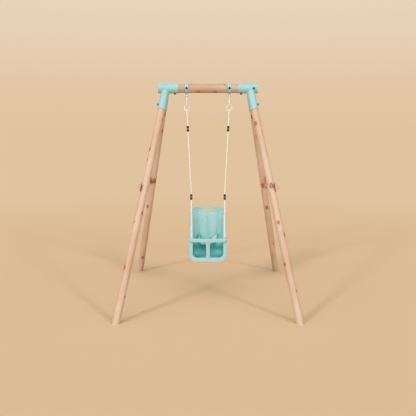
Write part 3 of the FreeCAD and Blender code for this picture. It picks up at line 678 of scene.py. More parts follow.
def resample(path: Sequence[Vector], step: float) -> list[Vector]:
    """Points at even distances along a path.

    Args:
        path: the points that it joins.
        step: about how far apart the new points are.

    Returns:
        The new points.
    """
    lengths = [0.0]
    for before, after in zip(path, path[1:]):
        lengths.append(lengths[-1] + (after - before).length)
    count = max(2, round(lengths[-1] / step))
    made = []
    leg = 0
    for index in range(count + 1):
        target = lengths[-1] * index / count
        while leg < len(path) - 2 and lengths[leg + 1] < target:
            leg += 1
        span = max(lengths[leg + 1] - lengths[leg], 1e-9)
        made.append(path[leg].lerp(path[leg + 1], (target - lengths[leg]) / span))
    return made


def sweep(path: Sequence[Vector], radius: RadiusRule, segments: int, closed: bool = False) -> MeshData:
    """A round tube along a path.

    Args:
        path: evenly spaced points.
        radius: gives the radius at an angle and a distance along the path.
        segments: points round the tube.
        closed: whether the path is a loop.

    Returns:
        Vertices and faces.
    """
    rings = []
    travelled = 0.0
    for index, (point, (_, first, second)) in enumerate(zip(path, frames(path, closed))):
        if index:
            travelled += (point - path[index - 1]).length
        rings.append([point + (first * math.cos(angle) + second * math.sin(angle)) * radius(angle, travelled)
                      for angle in circle(segments)])
    return loft(rings + [rings[0]], caps=False) if closed else loft(rings)


def rounded_line(points: Sequence[tuple[float, float]], radii: Sequence[float],
                 step: float) -> list[tuple[float, float]]:
    """A flat route with its corners rounded by arcs, as points about a step apart.

    Args:
        points: the corners and the two ends.
        radii: a radius for each of them.
        step: about how far apart an arc's points are.

    Returns:
        The rounded route.
    """
    corners = [Vector((*point, 0)) for point in points]
    made = [corners[0]]
    for index in range(1, len(corners) - 1):
        before = (corners[index - 1] - corners[index]).normalized()
        after = (corners[index + 1] - corners[index]).normalized()
        half = (math.pi - before.angle(after)) / 2
        radius = radii[index]
        reach = radius * math.tan(half)
        start = corners[index] + before * reach
        centre = corners[index] + (before + after).normalized() * (radius / math.cos(half))
        count = max(3, round(2 * half * radius / step))
        spoke = start - centre
        spin = 1 if before.cross(after).z < 0 else -1
        for share in range(count + 1):
            made.append(centre + Matrix.Rotation(spin * 2 * half * share / count, 3, "Z") @ spoke)
    made.append(corners[-1])
    return [(point.x, point.y) for point in made]


def combine(name: str, parts: Iterable[bpy.types.Object], sharp: float = SHARP_ANGLE) -> bpy.types.Object:
    """Joins several closed shapes into one piece and removes the originals.

    Args:
        name: the piece's name.
        parts: the shapes.
        sharp: the angle, in degrees, past which an edge shows as sharp.

    Returns:
        The object.
    """
    work = bmesh.new()
    for part in list(parts):
        work.from_mesh(part.data)
        bpy.data.objects.remove(part)
    mesh = bpy.data.meshes.new(name)
    work.to_mesh(mesh)
    work.free()
    return finish_mesh(name, mesh, sharp)


def carve(target: bpy.types.Object, tools: Sequence[bpy.types.Object],
          operation: str = "DIFFERENCE") -> bpy.types.Object:
    """Applies exact booleans to a piece and removes the tools.

    Args:
        target: the piece.
        tools: the shapes to cut it with or add to it.
        operation: the booleans' operation.

    Returns:
        The changed piece.
    """
    for tool in tools:
        change = target.modifiers.new("carve", "BOOLEAN")
        change.operation = operation
        change.solver = "EXACT"
        change.object = tool
    bpy.context.view_layer.update()
    mesh = bpy.data.meshes.new_from_object(target.evaluated_get(bpy.context.evaluated_depsgraph_get()))
    name = target.name
    bpy.data.objects.remove(target)
    for tool in tools:
        bpy.data.objects.remove(tool)
    return finish_mesh(name, mesh)


def rounded_block(name: str, centre: Vector, half: Vector, power: float = 5.0, turn: Matrix | None = None,
                  side_power: float | None = None, detail: int = 24) -> bpy.types.Object:
    """A block with full soft corners, as a superellipsoid.

    Args:
        name: the piece's name.
        centre: its middle.
        half: its half sizes.
        power: how square it is from above; 2 is round.
        turn: its rotation.
        side_power: how square it is from the side, if that differs.
        detail: points round it.

    Returns:
        The object.
    """
    flat, upright = 2 / power, 2 / (side_power or power)
    rings = []
    for row in range(1, detail):
        tilt = math.pi * row / detail - math.pi / 2
        ring = []
        for angle in circle(2 * detail):
            local = Vector((half.x * bent(math.cos(tilt), upright) * bent(math.cos(angle), flat),
                            half.y * bent(math.cos(tilt), upright) * bent(math.sin(angle), flat),
                            half.z * bent(math.sin(tilt), upright)))
            ring.append(centre + (turn @ local if turn else local))
        rings.append(ring)
    return add_mesh(name, *loft(rings))


def dress(piece: bpy.types.Object, material: bpy.types.Material, body: str | None = None,
          node: str | None = None) -> bpy.types.Object:
    """Gives a piece its material and slot and its body, and hides the node that it stands for.

    Args:
        piece: the piece.
        material: its material.
        body: the body that it rides on.
        node: the construction node that it replaces.

    Returns:
        The piece.
    """
    piece.data.materials.clear()
    piece.data.materials.append(material)
    if node:
        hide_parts(node)
    if body:
        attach(piece, body)
    LOG.info("%s: %d faces", piece.name, len(piece.data.polygons))
    return piece


def recoat(node: bpy.types.Object, material: bpy.types.Material) -> None:
    """Puts one material on a carried-over construction piece.

    Args:
        node: the piece.
        material: its material.
    """
    node.data.materials.clear()
    node.data.materials.append(material)
    LOG.info("%s: %s", node.name, material.name)


# The frame ----------------------------------------------------------------------------------------

@dataclass
class Pole:
    """A round pine pole between two points, its bark side sanded and slightly uneven."""

    name: str
    start: Vector
    end: Vector
    radius: float
    knots: tuple[Knot, ...]
    # Below 1 this darkens the pole's pine as painted shade.
    shade: float = 1.0
    chamfer: float = 0.004
    unevenness: float = 0.0004
    segments: int = 72
    step: float = 0.02
    knot_rise: float = 0.0011
    knot_spread: float = 0.9
    lump_scale: tuple[float, float] = (2.0, 5.0)
    lump_seed: float = 9.0

    def finish(self) -> PineFinish:
        """Describes the pole's own pine, its grain along its axis."""
        axis = (self.end - self.start).normalized()
        return PineFinish(self.name + " pine", self.start, axis, self.radius, self.knots, shade=self.shade)

    def build(self) -> bpy.types.Object:
        """Makes the pole, cut flat where it meets the ground.

        Returns:
            The object.
        """
        axis = (self.end - self.start).normalized()
        first, second = self.finish().across()
        length = (self.end - self.start).length
        count = round(length / self.step)
        plain = length - 2 * self.chamfer
        stations = [(0.0, -self.chamfer)]
        stations += [(self.chamfer + plain * index / count, 0.0) for index in range(count + 1)]
        stations.append((length, -self.chamfer))
        rings = []
        for along, change in stations:
            ring = []
            for angle in circle(self.segments):
                way = first * math.cos(angle) + second * math.sin(angle)
                rough = noise.noise(Vector((way.x * self.lump_scale[0], way.y * self.lump_scale[0],
                                            along * self.lump_scale[1] + self.start.x * self.lump_seed)))
                bulge = sum(self.swelling(knot, along, angle) for knot in self.knots)
                reach = self.radius + change - self.unevenness + rough * self.unevenness + bulge
                ring.append(self.start + axis * along + way * reach)
            rings.append(ring)
        piece = add_mesh(self.name + "_pole", *loft(rings))
        if min(self.start.z, self.end.z) < 0.001:
            self.cut_at_ground(piece)
        return piece

    def swelling(self, knot: Knot, along: float, angle: float) -> float:
        """How far the wood stands proud near a knot.

        Args:
            knot: the knot.
            along: the distance along the pole.
            angle: the angle round it, in radians.

        Returns:
            The height.
        """
        turn = abs((angle - math.radians(knot.angle) + math.pi) % math.tau - math.pi)
        square = (along - knot.along) ** 2 + (self.radius * turn) ** 2
        return self.knot_rise * math.exp(-square / (2 * (self.knot_spread * knot.radius) ** 2))

    def cut_at_ground(self, piece: bpy.types.Object) -> None:
        """Cuts the pole flat at the ground and closes it.

        Args:
            piece: the pole's object.
        """
        work = bmesh.new()
        work.from_mesh(piece.data)
        everything = work.verts[:] + work.edges[:] + work.faces[:]
        cut = bmesh.ops.bisect_plane(work, geom=everything, plane_co=(0, 0, 0), plane_no=(0, 0, -1),
                                     clear_outer=True)
        edges = [item for item in cut["geom_cut"] if isinstance(item, bmesh.types.BMEdge)]
        bmesh.ops.contextual_create(work, geom=edges)
        bmesh.ops.recalc_face_normals(work, faces=work.faces)
        work.to_mesh(piece.data)
        work.free()
        piece.data.set_sharp_from_angle(angle=math.radians(SHARP_ANGLE))


@dataclass
class AFrame:
    """The four legs, top beam, side rails, brackets and fasteners."""

    nodes: dict[str, bpy.types.Object]
    finishes: Finishes
    leg_radius: float = 0.030
    leg_tip: float = 0.085
    apex_x: float = 0.350
    foot: tuple[float, float] = (0.690, 0.740)
    foot_overrun: float = 0.05
    rail_radius: float = 0.026
    rail_pith: tuple[float, float] = (0.010, 0.016)
    sleeve_wall: float = 0.0034
    weld_radius: float = 0.0024
    weld_ripple: float = 0.12
    weld_pitch: float = 0.0016
    # Painted shade: the beam's pine is darkened against the strong light that falls on its top.
    beam_painted_shade: float = 0.84

    def __post_init__(self) -> None:
        """Reads the beam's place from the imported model."""
        low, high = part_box("top_beam")
        self.beam_height = (low.z + high.z) / 2
        self.beam_radius = (high.z - low.z) / 2
        self.beam_half = high.x

    def leg_line(self, side: int, end: int) -> tuple[Vector, Vector]:
        """The apex and the unit direction down a leg.

        Args:
            side: -1 for left and 1 for right.
            end: -1 for front and 1 for back.

        Returns:
            The apex and the direction.
        """
        apex = Vector((side * self.apex_x, 0, self.beam_height))
        foot = Vector((side * self.foot[0], end * self.foot[1], 0))
        return apex, (foot - apex).normalized()

    def leg_knots(self, side: int, end: int) -> tuple[Knot, ...]:
        """Knots of one leg, as distances down from its tip.

        Args:
            side: -1 for left and 1 for right.
            end: -1 for front and 1 for back.

        Returns:
            The knots.
        """
        layouts = {(-1, -1): ((0.20, 28, 0.007), (0.47, 148, 0.009), (0.56, 152, 0.007), (0.78, 265, 0.012),
                              (1.00, 32, 0.010), (1.08, 150, 0.007), (1.26, 300, 0.012), (1.44, 146, 0.011),
                              (1.66, 22, 0.006)),
                   (1, -1): ((0.24, 128, 0.011), (0.52, 250, 0.012), (0.78, 84, 0.013), (1.08, 98, 0.009),
                             (1.18, 30, 0.011), (1.41, 140, 0.008), (1.55, 280, 0.012), (1.62, 40, 0.006)),
                   (-1, 1): ((0.13, 52, 0.013), (0.29, 38, 0.009), (0.79, 52, 0.014), (0.805, 112, 0.012),
                             (1.07, 116, 0.010), (1.33, 250, 0.012), (1.67, 76, 0.010)),
                   (1, 1): ((0.16, 130, 0.010), (0.34, 96, 0.007), (0.84, 112, 0.014), (0.865, 55, 0.008),
                            (1.08, 96, 0.012), (1.40, 262, 0.012), (1.50, 64, 0.007))}
        return tuple(Knot(along, angle, size) for along, angle, size in layouts[(side, end)])

    def build(self) -> None:
        """Builds and dresses the whole frame."""
        for side, side_name in ((-1, "left"), (1, "right")):
            for end, end_name in ((-1, "front"), (1, "back")):
                apex, way = self.leg_line(side, end)
                node = "leg_%s_%s" % (end_name, side_name)
                foot = apex + way * (self.beam_height / -way.z + self.foot_overrun)
                pole = Pole(node, apex + way * self.leg_tip, foot, self.leg_radius, self.leg_knots(side, end))
                dress(pole.build(), pole.finish().build(), "frame", node)
            self.dress_rail(side_name)
            self.build_welds(side, side_name)
        end = Vector((self.beam_half, 0, self.beam_height))
        beam = Pole("top_beam", Vector((-end.x, 0, end.z)), end, self.beam_radius,
                    (Knot(0.27, 24, 0.007), Knot(0.33, 140, 0.008), Knot(0.42, 205, 0.010),
                     Knot(0.47, 148, 0.010), Knot(0.55, 40, 0.006), Knot(0.56, 262, 0.012)), self.beam_painted_shade)
        dress(beam.build(), beam.finish().build(), "frame", "top_beam")
        self.dress_metalwork()

    def dress_rail(self, side_name: str) -> None:
        """Gives a half-round side rail its pine.

        Args:
            side_name: left or right.
        """
        low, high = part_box("side_rail_" + side_name)
        middle = (low + high) / 2
        knots = (Knot(0.19, 40, 0.009), Knot(0.34, 300, 0.010),
                 Knot(0.55, 330, 0.012), Knot(0.63, 160, 0.009))
        pine = PineFinish("side rail %s pine" % side_name, Vector((middle.x, low.y, middle.z)), Y_AXIS,
                          self.rail_radius, knots, self.rail_pith)
        recoat(self.nodes["side_rail_" + side_name], pine.build())

    def dress_metalwork(self) -> None:
        """Gives brackets, hangers, screws, pins and caps their finishes."""
        for side_name in ("left", "right"):
            recoat(self.nodes["bracket_" + side_name], self.finishes.teal_paint)
            recoat(self.nodes["hanger_" + side_name], self.finishes.teal_paint)
        for name in ("hanger_bolts", "hanger_washers", "hanger_nuts", "bracket_screws", "rail_screws"):
            recoat(self.nodes[name], self.finishes.zinc)
        recoat(self.nodes["pivot_pins"], self.finishes.bright_steel)
        for name in ("bracket_caps", "hanger_caps"):
            recoat(self.nodes[name], self.finishes.black_plastic)
        recoat(self.nodes["pivot_bushes"], self.finishes.nylon)

    def build_welds(self, side: int, side_name: str) -> None:
        """Weld beads where a bracket's leg sleeves meet its beam sleeve.

        Args:
            side: -1 for left and 1 for right.
            side_name: left or right.
        """
        sleeve = self.beam_radius + self.sleeve_wall
        tube = self.leg_radius + self.sleeve_wall
        beads = []
        for end in (-1, 1):
            apex, way = self.leg_line(side, end)
            first = way.cross(X_AXIS).normalized()
            second = way.cross(first).normalized()
            path = []
            for angle in circle(120):
                spoke = (first * math.cos(angle) + second * math.sin(angle)) * tube
                steep = way.y ** 2 + way.z ** 2
                lean = 2 * (spoke.y * way.y + spoke.z * way.z)
                rest = spoke.y ** 2 + spoke.z ** 2 - sleeve ** 2
                along = (-lean + math.sqrt(max(lean ** 2 - 4 * steep * rest, 0.0))) / (2 * steep)
                path.append(apex + spoke + way * along)
            beads.append(add_mesh("bead", *sweep(path, self.weld_size, 10, closed=True)))
        dress(combine("weld_beads_" + side_name, beads), self.finishes.teal_paint, "frame")

    def weld_size(self, angle: float, at: float) -> float:
        """A bead's radius, which ripples along it."""
        return self.weld_radius * (1 + self.weld_ripple * math.sin(at / self.weld_pitch))


# The ropes ----------------------------------------------------------------------------------------

@dataclass
class RopeWork:
    """Main ropes, rear ropes, their knots, and the adjusters, hooks and rings on them."""

    nodes: dict[str, bpy.types.Object]
    finishes: Finishes
    diameter: float = 0.009
    plaits: int = 8
    plait_length: float = 0.0075
    relief: float = 0.00045
    ring_step: float = 0.0015
    knot_loop: float = 0.0037
    knot_lobe: float = 0.0018
    knot_depth: float = 0.0058
    knot_pinch: float = 0.78
    knot_end: tuple[tuple[float, float], ...] = ((0.004, 0.0042), (0.010, 0.0044), (0.014, 0.0044),
                                                 (0.0165, 0.0040), (0.018, 0.0031))
    lobe_half: tuple[float, float, float] = (0.0103, 0.0178, 0.0109)
    lobe_offset: float = 0.0121
    web_half: tuple[float, float] = (0.0070, 0.0140)
    lip_offset: float = 0.0226
    lip_radius: float = 0.0059
    lip_bead: float = 0.0013

    def main_route(self, side: int) -> list[Vector]:
        """From the tail's knot over the ring and through both adjusters to the knot under the arm.

        Args:
            side: -1 for left and 1 for right.

        Returns:
            The rope's points.
        """
        points = [(0.16805, -0.01175, 1.40142), (0.17649, -0.00803, 1.57638), (0.17738, -0.00763, 1.59495),
                  (0.17737, 0.00796, 1.59462), (0.17647, 0.00757, 1.57605), (0.14668, -0.0056, 0.95791),
                  (0.1435, -0.007, 0.892), (0.1435, -0.007, 0.826), (0.1435, -0.02562, 0.76268),
                  (0.1435, -0.1081, 0.48225)]
        return [Vector((side * x, y, z)) for x, y, z in points]

    def rear_route(self, side: int) -> list[Vector]:
        """From inside the lower adjuster to the knot under the shoulder.

        Args:
            side: -1 for left and 1 for right.

        Returns:
            The rope's points.
        """
        points = [(0.1435, 0.007, 0.876), (0.1435, 0.007, 0.826), (0.1435, 0.03901, 0.78759),
                  (0.1435, 0.11719, 0.69378)]
        return [Vector((side * x, y, z)) for x, y, z in points]

    def spline_points(self, name: str, route: Sequence[Vector]) -> list[Vector]:
        """The points of one smooth curve through a route's control points.

        Args:
            name: the rope's name.
            route: the control points.

        Returns:
            The curve's points.
        """
        curve = bpy.data.curves.new(name + "_line", "CURVE")
        curve.dimensions = "3D"
        curve.resolution_u = 24
        spline = curve.splines.new("NURBS")
        spline.points.add(len(route) - 1)
        for point, place in zip(spline.points, route):
            point.co = (*place, 1.0)
        spline.order_u = 3
        spline.use_endpoint_u = True
        holder = bpy.data.objects.new(name + "_line", curve)
        bpy.context.scene.collection.objects.link(holder)
        bpy.context.view_layer.update()
        mesh = bpy.data.meshes.new_from_object(holder)
        points = [vertex.co.copy() for vertex in mesh.vertices]
        bpy.data.objects.remove(holder)
        bpy.data.meshes.remove(mesh)
        return points

    def plait(self, angle: float, at: float) -> float:
        """Radius of the braid's surface, raised where each strand passes over.

        Args:
            angle: the angle round the rope.
            at: the distance along it.

        Returns:
            The radius.
        """
        half = self.plaits / 2 * angle
        shift = math.pi * at / self.plait_length
        over = abs(math.sin(half + shift) * math.sin(half - shift))
        return self.diameter / 2 - self.relief * (1 - math.sqrt(over))

    def build_rope(self, node: str, route: Sequence[Vector]) -> None:
        """One braided rope; its real length is logged.

        Args:
            node: the construction node that it replaces.
            route: its control points.
        """
        path = resample(self.spline_points(node, route), self.ring_step)
        length = sum((after - before).length for before, after in zip(path, path[1:]))
        rope = add_mesh(node + "_braid", *sweep(path, self.plait, 32), sharp=80)
        dress(rope, self.finishes.rope, "swing", node)
        [tuple(point) for point in path[::4] + [path[-1]]]
        LOG.info("%s: %.3f m", node, length)

    def build_knot(self, node: str, axis: Vector) -> None:
        """A stopper knot: a rope's trefoil drawn tight, with a sealed end below it.

        Args:
            node: the construction node that it replaces.
            axis: the way that its loose end points.
        """
        low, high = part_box(node)
        centre = (low + high) / 2
        turn = UP.rotation_difference(-axis).to_matrix()
        path = []
        for angle in circle(160):
            reach = self.knot_loop + self.knot_lobe * math.cos(3 * angle)
            path.append(centre + turn @ Vector((reach * math.cos(2 * angle), reach * math.sin(2 * angle),
                                                -self.knot_depth * math.sin(3 * angle))))
        loop = add_mesh("loop", *sweep(path, self.pinched, 32, closed=True), 80)
        rings = [[centre + axis * along + (turn @ Vector((math.cos(angle), math.sin(angle), 0))) * radius
                  for angle in circle(24)] for along, radius in self.knot_end]
        stub = add_mesh("stub", *loft(rings))
        dress(combine(node + "_tied", [loop, stub], 80), self.finishes.rope, "swing", node)

    def pinched(self, angle: float, at: float) -> float:
        """Radius of the braid where a knot draws it tight."""
        return self.plait(angle, at) * self.knot_pinch

    def build_adjuster(self, node: str, along: Vector, web: float) -> None:
        """A black adjuster: two rounded lobes with a slim web between the strands.

        Args:
            node: the construction node that it replaces.
            along: the strands' direction.
            web: half the thickness of the web.
        """
        low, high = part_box(node)
        centre = (low + high) / 2
        across = (Y_AXIS - along * Y_AXIS.dot(along)).normalized()
        turn = Matrix((across.cross(along), across, along)).transposed()
        lobes = [rounded_block("lobe", centre + along * (hand * self.lobe_offset), Vector(self.lobe_half),
                               4.0, turn, 3.4) for hand in (-1, 1)]
        web_size = Vector((self.web_half[0], web, self.web_half[1]))
        lobes.append(rounded_block("web", centre, web_size, 6.0, turn))
        for hand in (-1, 1):
            for end in (-1, 1):
                middle = centre + along * (hand * self.lip_offset) + across * (end * self.strand_offset(node))
                lip = [middle + turn @ Vector((self.lip_radius * math.cos(angle),
                                               self.lip_radius * math.sin(angle), 0)) for angle in circle(36)]
                lobes.append(add_mesh("lip", *sweep(lip, lambda angle, at: self.lip_bead, 8, closed=True)))
        dress(combine(node + "_moulding", lobes), self.finishes.black_plastic, "swing", node)

    @staticmethod
    def strand_offset(node: str) -> float:
        """Half the distance between the two strands in an adjuster."""
        return 0.0078 if node.startswith("upper") else 0.0070

    def build(self) -> None:
        """Builds both sides."""
        for side, name in ((-1, "left"), (1, "right")):
            main, rear = self.main_route(side), self.rear_route(side)
            self.build_rope("main_rope_" + name, main)
            self.build_rope("rear_rope_" + name, rear)
            down = (main[0] - main[1]).normalized()
            self.build_knot("tail_knot_" + name, down)
            self.build_knot("arm_knot_" + name, (main[-1] - main[-2]).normalized())
            self.build_knot("shoulder_knot_" + name, (rear[-1] - rear[-2]).normalized())
            self.build_adjuster("upper_adjuster_" + name, down * -1, 0.0028)
            self.build_adjuster("lower_adjuster_" + name, UP, 0.0012)
            for part in ("snap_hook_", "ring_", "hook_gate_"):
                recoat(self.nodes[part + name], self.finishes.bright_steel)
        recoat(self.nodes["gate_pins"], self.finishes.zinc)


# The seat -----------------------------------------------------------------------------------------

@dataclass
class BucketSeat:
    """The moulded seat: tub, perimeter flange with a turned lip, high back, slots and rope eyes."""

    finishes: Finishes
    wall: float = 0.004
    tub_half: float = 0.131
    pan: float = 0.0195
    arm: float = 0.176
    shoulder: float = 0.390
    arm_back: float = 0.038
    shoulder_front: float = 0.084
    band: float = 0.042
    back_low: float = 0.094
    recline: float = 8.4
    corner: float = 0.056
    floor_round: float = 0.043
    back_half: float = 0.139
    rim_corner: float = 0.065
    window_corner: float = 0.040
    lip: float = 0.011
    handle: tuple[float, float, float] = (0.055, 0.0115, 0.404)
    belt_slot: tuple[float, float] = (0.082, 0.188)
    panel_relief: float = 0.0045
    top_corner: float = 0.037
    panel_half: tuple[float, float] = (0.062, 0.030)
    wall_lag: float = 0.033
    overlap: float = 0.002
    rope_x: float = 0.1435
    rope_y: tuple[float, float] = (-0.107, 0.112)
    eye_radii: tuple[float, float] = (0.0068, 0.0074)
    eye_bead: float = 0.0018
    pocket_half: tuple[float, float, float] = (0.020, 0.0088, 0.0195)
    pocket_mouth: tuple[float, float, float] = (0.0125, 0.0055, 0.017)
    rib_x: float = 0.045
    rib_span: tuple[float, float] = (0.10, 0.365)
    rib_half: tuple[float, float] = (0.0022, 0.0042)

    def __post_init__(self) -> None:
        """Reads the seat's box; heights above are from its underside."""
        self.low, self.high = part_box("seat_shell")
        self.front = self.low.y
        self.base = self.low.z

    def back(self, z: float) -> float:
        """Middle of the back panel's wall at a height."""
        return self.back_low + (z - self.base - self.band) * math.tan(math.radians(self.recline))

    def edge(self) -> list[tuple[float, float]]:
        """The side edge as (y, z), from the front of the arm to the back of the shoulder.

        Returns:
            The edge's points.
        """
        arm, shoulder = self.base + self.arm, self.base + self.shoulder
        points = [(self.front, arm), (self.arm_back, arm), (self.shoulder_front, shoulder),
                  (self.back(shoulder) - 0.003, shoulder)]
        return rounded_line(points, (0, 0.06, 0.03, 0), 0.006)

    def row(self, half: float, rear: float, corner: float, depth: float, front: tuple[float, float],
            height: float) -> list[Vector]:
        """One line of the tub's wall, from the right front edge round the back to the left.

        Args:
            half: half width.
            rear: y of the back.
            corner: sideways size of the rear corner.
            depth: front-to-back size of the rear corner.
            front: (y, z) of the line's front end.
            height: z at the back.

        Returns:
            Its points.
        """
        start_y = min(front[0], rear - depth)
        right = []
        for step in range(22):
            share = step / 22
            y = start_y + (rear - depth - start_y) * share
            right.append(Vector((half, y, front[1] + (height - front[1]) * share)))
        for step in range(13):
            angle = math.pi / 2 * step / 12
            right.append(Vector((half - corner + corner * math.cos(angle),
                                 rear - depth + depth * math.sin(angle), height)))
        for step in range(1, 25):
            right.append(Vector(((half - corner) * (1 - step / 24), rear, height)))
        left = [Vector((-point.x, point.y, point.z)) for point in right[-2::-1]]
        return [self.raised(point, rear) for point in right + left]

    def raised(self, point: Vector, rear: float) -> Vector:
        """Moves a point of the back forward where its tapered middle panel stands proud.

        Args:
            point: the point.
            rear: the back's place at its height.

        Returns:
            The moved point.
        """
        height = point.z - self.base
        if point.y < rear - 0.02 or height < 0.05:
            return point
        limit = self.panel_half[0] + self.panel_half[1] * smooth(0.10, 0.36, height)
        share = (1 - smooth(limit - 0.004, limit + 0.004, abs(point.x)))
        share *= smooth(0.07, 0.10, height) * (1 - smooth(0.375, 0.385, height))
        return point - Vector((0, self.panel_relief * share, 0))

    def tub_rows(self) -> list[list[Vector]]:
        """All lines of the tub, from the middle of the pan up to the top of the back.

        Returns:
            The lines.
        """
        rows = []
        floor = self.base + self.pan
        front = self.front + 0.002
        for index in range(12):
            inset = self.tub_half + (self.floor_round - self.tub_half) * index / 11
            corner = max(self.corner - inset, 0.002)
            rear = self.back(floor + self.floor_round) - inset
            rows.append(self.row(self.tub_half - inset, rear, min(corner, self.tub_half - inset), corner,
                                 (front, floor), floor))
        for index in range(1, 9):
            angle = math.pi / 2 * index / 8
            inset = self.floor_round * (1 - math.sin(angle))
            z = floor + self.floor_round * (1 - math.cos(angle))
            corner = max(self.corner - inset, 0.004)
            rows.append(self.row(self.tub_half - inset, self.back(z) - inset, corner, corner, (front, z), z))
        side_low = floor + self.floor_round
        arm = self.base + self.arm - 0.002
        for index in range(1, 13):
            z = side_low + (arm - side_low) * index / 12
            height = side_low + (arm - self.wall_lag - side_low) * index / 12
            rows.append(self.row(self.tub_half, self.back(height), self.corner, self.corner, (front, z),
                                 height))
        edge = [Vector((y, z, 0)) for y, z in self.edge()]
        path = resample(edge, 0.008)
        last = self.base + self.shoulder
        for index, place in enumerate(path[1:], start=1):
            height = place.y - self.wall_lag * (1 - index / (len(path) - 1))
            rows.append(self.upper_row((place.x, place.y - 0.002), height))
        top = self.high.z - 0.001
        for index in range(1, 15):
            rows.append(self.upper_row(None, last + (top - last) * math.sin(math.pi / 2 * index / 14)))
        return rows

    def upper_row(self, front: tuple[float, float] | None, height: float) -> list[Vector]:
        """A line above the arms; above the shoulders it is only the back panel.

        Args:
            front: (y, z) of the line's front end, or None above the shoulders.
            height: z at the back.

        Returns:
            Its points.
        """
        share = smooth(self.base + 0.320, self.base + 0.400, height)
        depth = self.corner + (0.004 - self.corner) * share
        half = self.tub_half + (self.back_half - self.tub_half) * share
        round_start = self.high.z - self.top_corner
        if height > round_start:
            drop = self.top_corner ** 2 - (height - round_start) ** 2
            half = self.back_half - self.top_corner + math.sqrt(max(drop, 0.0))
        rear = self.back(height)
        corner = min(self.corner, half)
        if front is None:
            front = (rear - depth, height)
        return self.row(half, rear, corner, depth, front, height)

    def build_tub(self) -> bpy.types.Object:
        """The wall itself, thickened, with its handle slot and belt slots cut through.

        Returns:
            The object.
        """
        rows = self.tub_rows()
        count = len(rows[0])
        starts = [row * count + step for row in range(len(rows) - 1) for step in range(count - 1)]
        faces = [[start, start + 1, start + count + 1, start + count] for start in starts]
        tub = add_mesh("tub", [point for row in rows for point in row], faces, 60)
        work = bmesh.new()
        work.from_mesh(tub.data)
        bmesh.ops.dissolve_degenerate(work, edges=work.edges, dist=1e-5)
        work.to_mesh(tub.data)
        work.free()
        thick = tub.modifiers.new("wall", "SOLIDIFY")
        thick.thickness = self.wall
        thick.offset = 0
        half, radius, height = self.handle
        middle = self.base + height
        outline = [Vector((side * (half - radius) + radius * math.cos(angle), 0,
                           middle + radius * math.sin(angle)))
                   for side, start in ((1, -90), (-1, 90))
                   for angle in (math.radians(start + 180 * step / 16) for step in range(17))]
        tools = [self.cutter("slot_tool", outline, (0.10, 0.20))]
        slot_x, slot_z = self.belt_slot
        for side in (-1, 1):
            box = [Vector((side * slot_x + dx * 0.0018, 0, self.base + slot_z + dz * 0.0145))
                   for dx, dz in ((-1, -1), (1, -1), (1, 1), (-1, 1))]
            tools.append(self.cutter("belt_tool", box, (0.06, 0.16)))
        return carve(tub, tools)

    @staticmethod
    def cutter(name: str, outline: Ring, span: tuple[float, float]) -> bpy.types.Object:
        """A straight tool with a flat outline, between two places along y."""
        return add_mesh(name, *loft([[point + Y_AXIS * y for point in outline] for y in span]))

    def rim_stations(self) -> list[Station]:
        """Stations of the right half of the flange: inner point, way out, face normal and width.

        Returns:
            The stations.
        """
        out = self.high.x - self.tub_half + self.overlap
        inner_x = self.tub_half - self.overlap
        edge = [Vector((y, z, 0)) for y, z in self.edge()][::-1]
        front = (self.front, self.base + self.rim_corner + 0.03)
        corner = rounded_line([(edge[-2].x, edge[-2].y), (self.front, self.base + self.arm), front],
                              (0, 0.008, 0), 0.002)
        side = edge[:-1] + [Vector((y, z, 0)) for y, z in corner[1:]]
        stations = []
        for index, point in enumerate(side):
            ahead = side[min(index + 1, len(side) - 1)]
            behind = side[max(index - 1, 0)]
            tangent = (ahead - behind).normalized()
            normal = Vector((0, tangent.y, -tangent.x))
            stations.append((Vector((inner_x, point.x, point.y)), X_AXIS, normal, out))
        outer_centre = Vector((self.high.x - self.rim_corner, self.base + self.rim_corner))
        inner_centre = Vector((inner_x - self.window_corner, self.base + self.band + self.window_corner))
        for step in range(17):
            angle = math.pi / 2 * step / 16
            way = Vector((math.cos(angle), -math.sin(angle)))
            outer = outer_centre + way * self.rim_corner
            inner = inner_centre + way * self.window_corner
            run = outer - inner
            stations.append((Vector((inner.x, self.front, inner.y)), Vector((run.x, 0, run.y)).normalized(),
                             -Y_AXIS, run.length))
        for step in range(1, 9):
            x = inner_centre.x * (1 - step / 8)
            stations.append((Vector((x, self.front, inner_centre.y - self.window_corner)), -UP, -Y_AXIS,
                             self.band))
        return stations

    def lip_profile(self, station: Station, lip: float) -> Ring:
        """The flange's section at a station: a flat with a softly turned outer lip.

        Args:
            station: the station.
            lip: how far the lip turns down.

        Returns:
            The section's points.
        """
        inner, out, normal, width = station
        wall = self.wall
        soft = 0.0045
        shape = [(0.0, -0.0012), (0.0004, -0.0004), (0.0012, 0.0)]
        shape += [(width - soft + soft * math.sin(angle), soft * (math.cos(angle) - 1))
                  for angle in (math.pi / 2 * step / 6 for step in range(7))]
        shape += [(width, -lip + 0.001), (width - 0.0006, -lip), (width - 0.0022, -lip),
                  (width - 0.0028, -lip + 0.001), (width - 0.0028, -wall - 0.0015), (width - 0.0042, -wall),
                  (0.0012, -wall), (0.0, -wall + 0.001)]
        return [inner + out * across + normal * above for across, above in shape]

    def build_flange(self) -> bpy.types.Object:
        """The flange all round the opening and down round the front rim.

        Returns:
            The object.
        """
        right = self.rim_stations()

        def mirrored(vector: Vector) -> Vector:
            """A place or direction on the other side."""
            return Vector((-vector.x, vector.y, vector.z))

        left = [(mirrored(inner), mirrored(out), mirrored(normal), width)
                for inner, out, normal, width in right[-2::-1]]
        rings = [self.lip_profile(station, self.lip) for station in right + left]
        return add_mesh("flange", *loft(rings), 50)

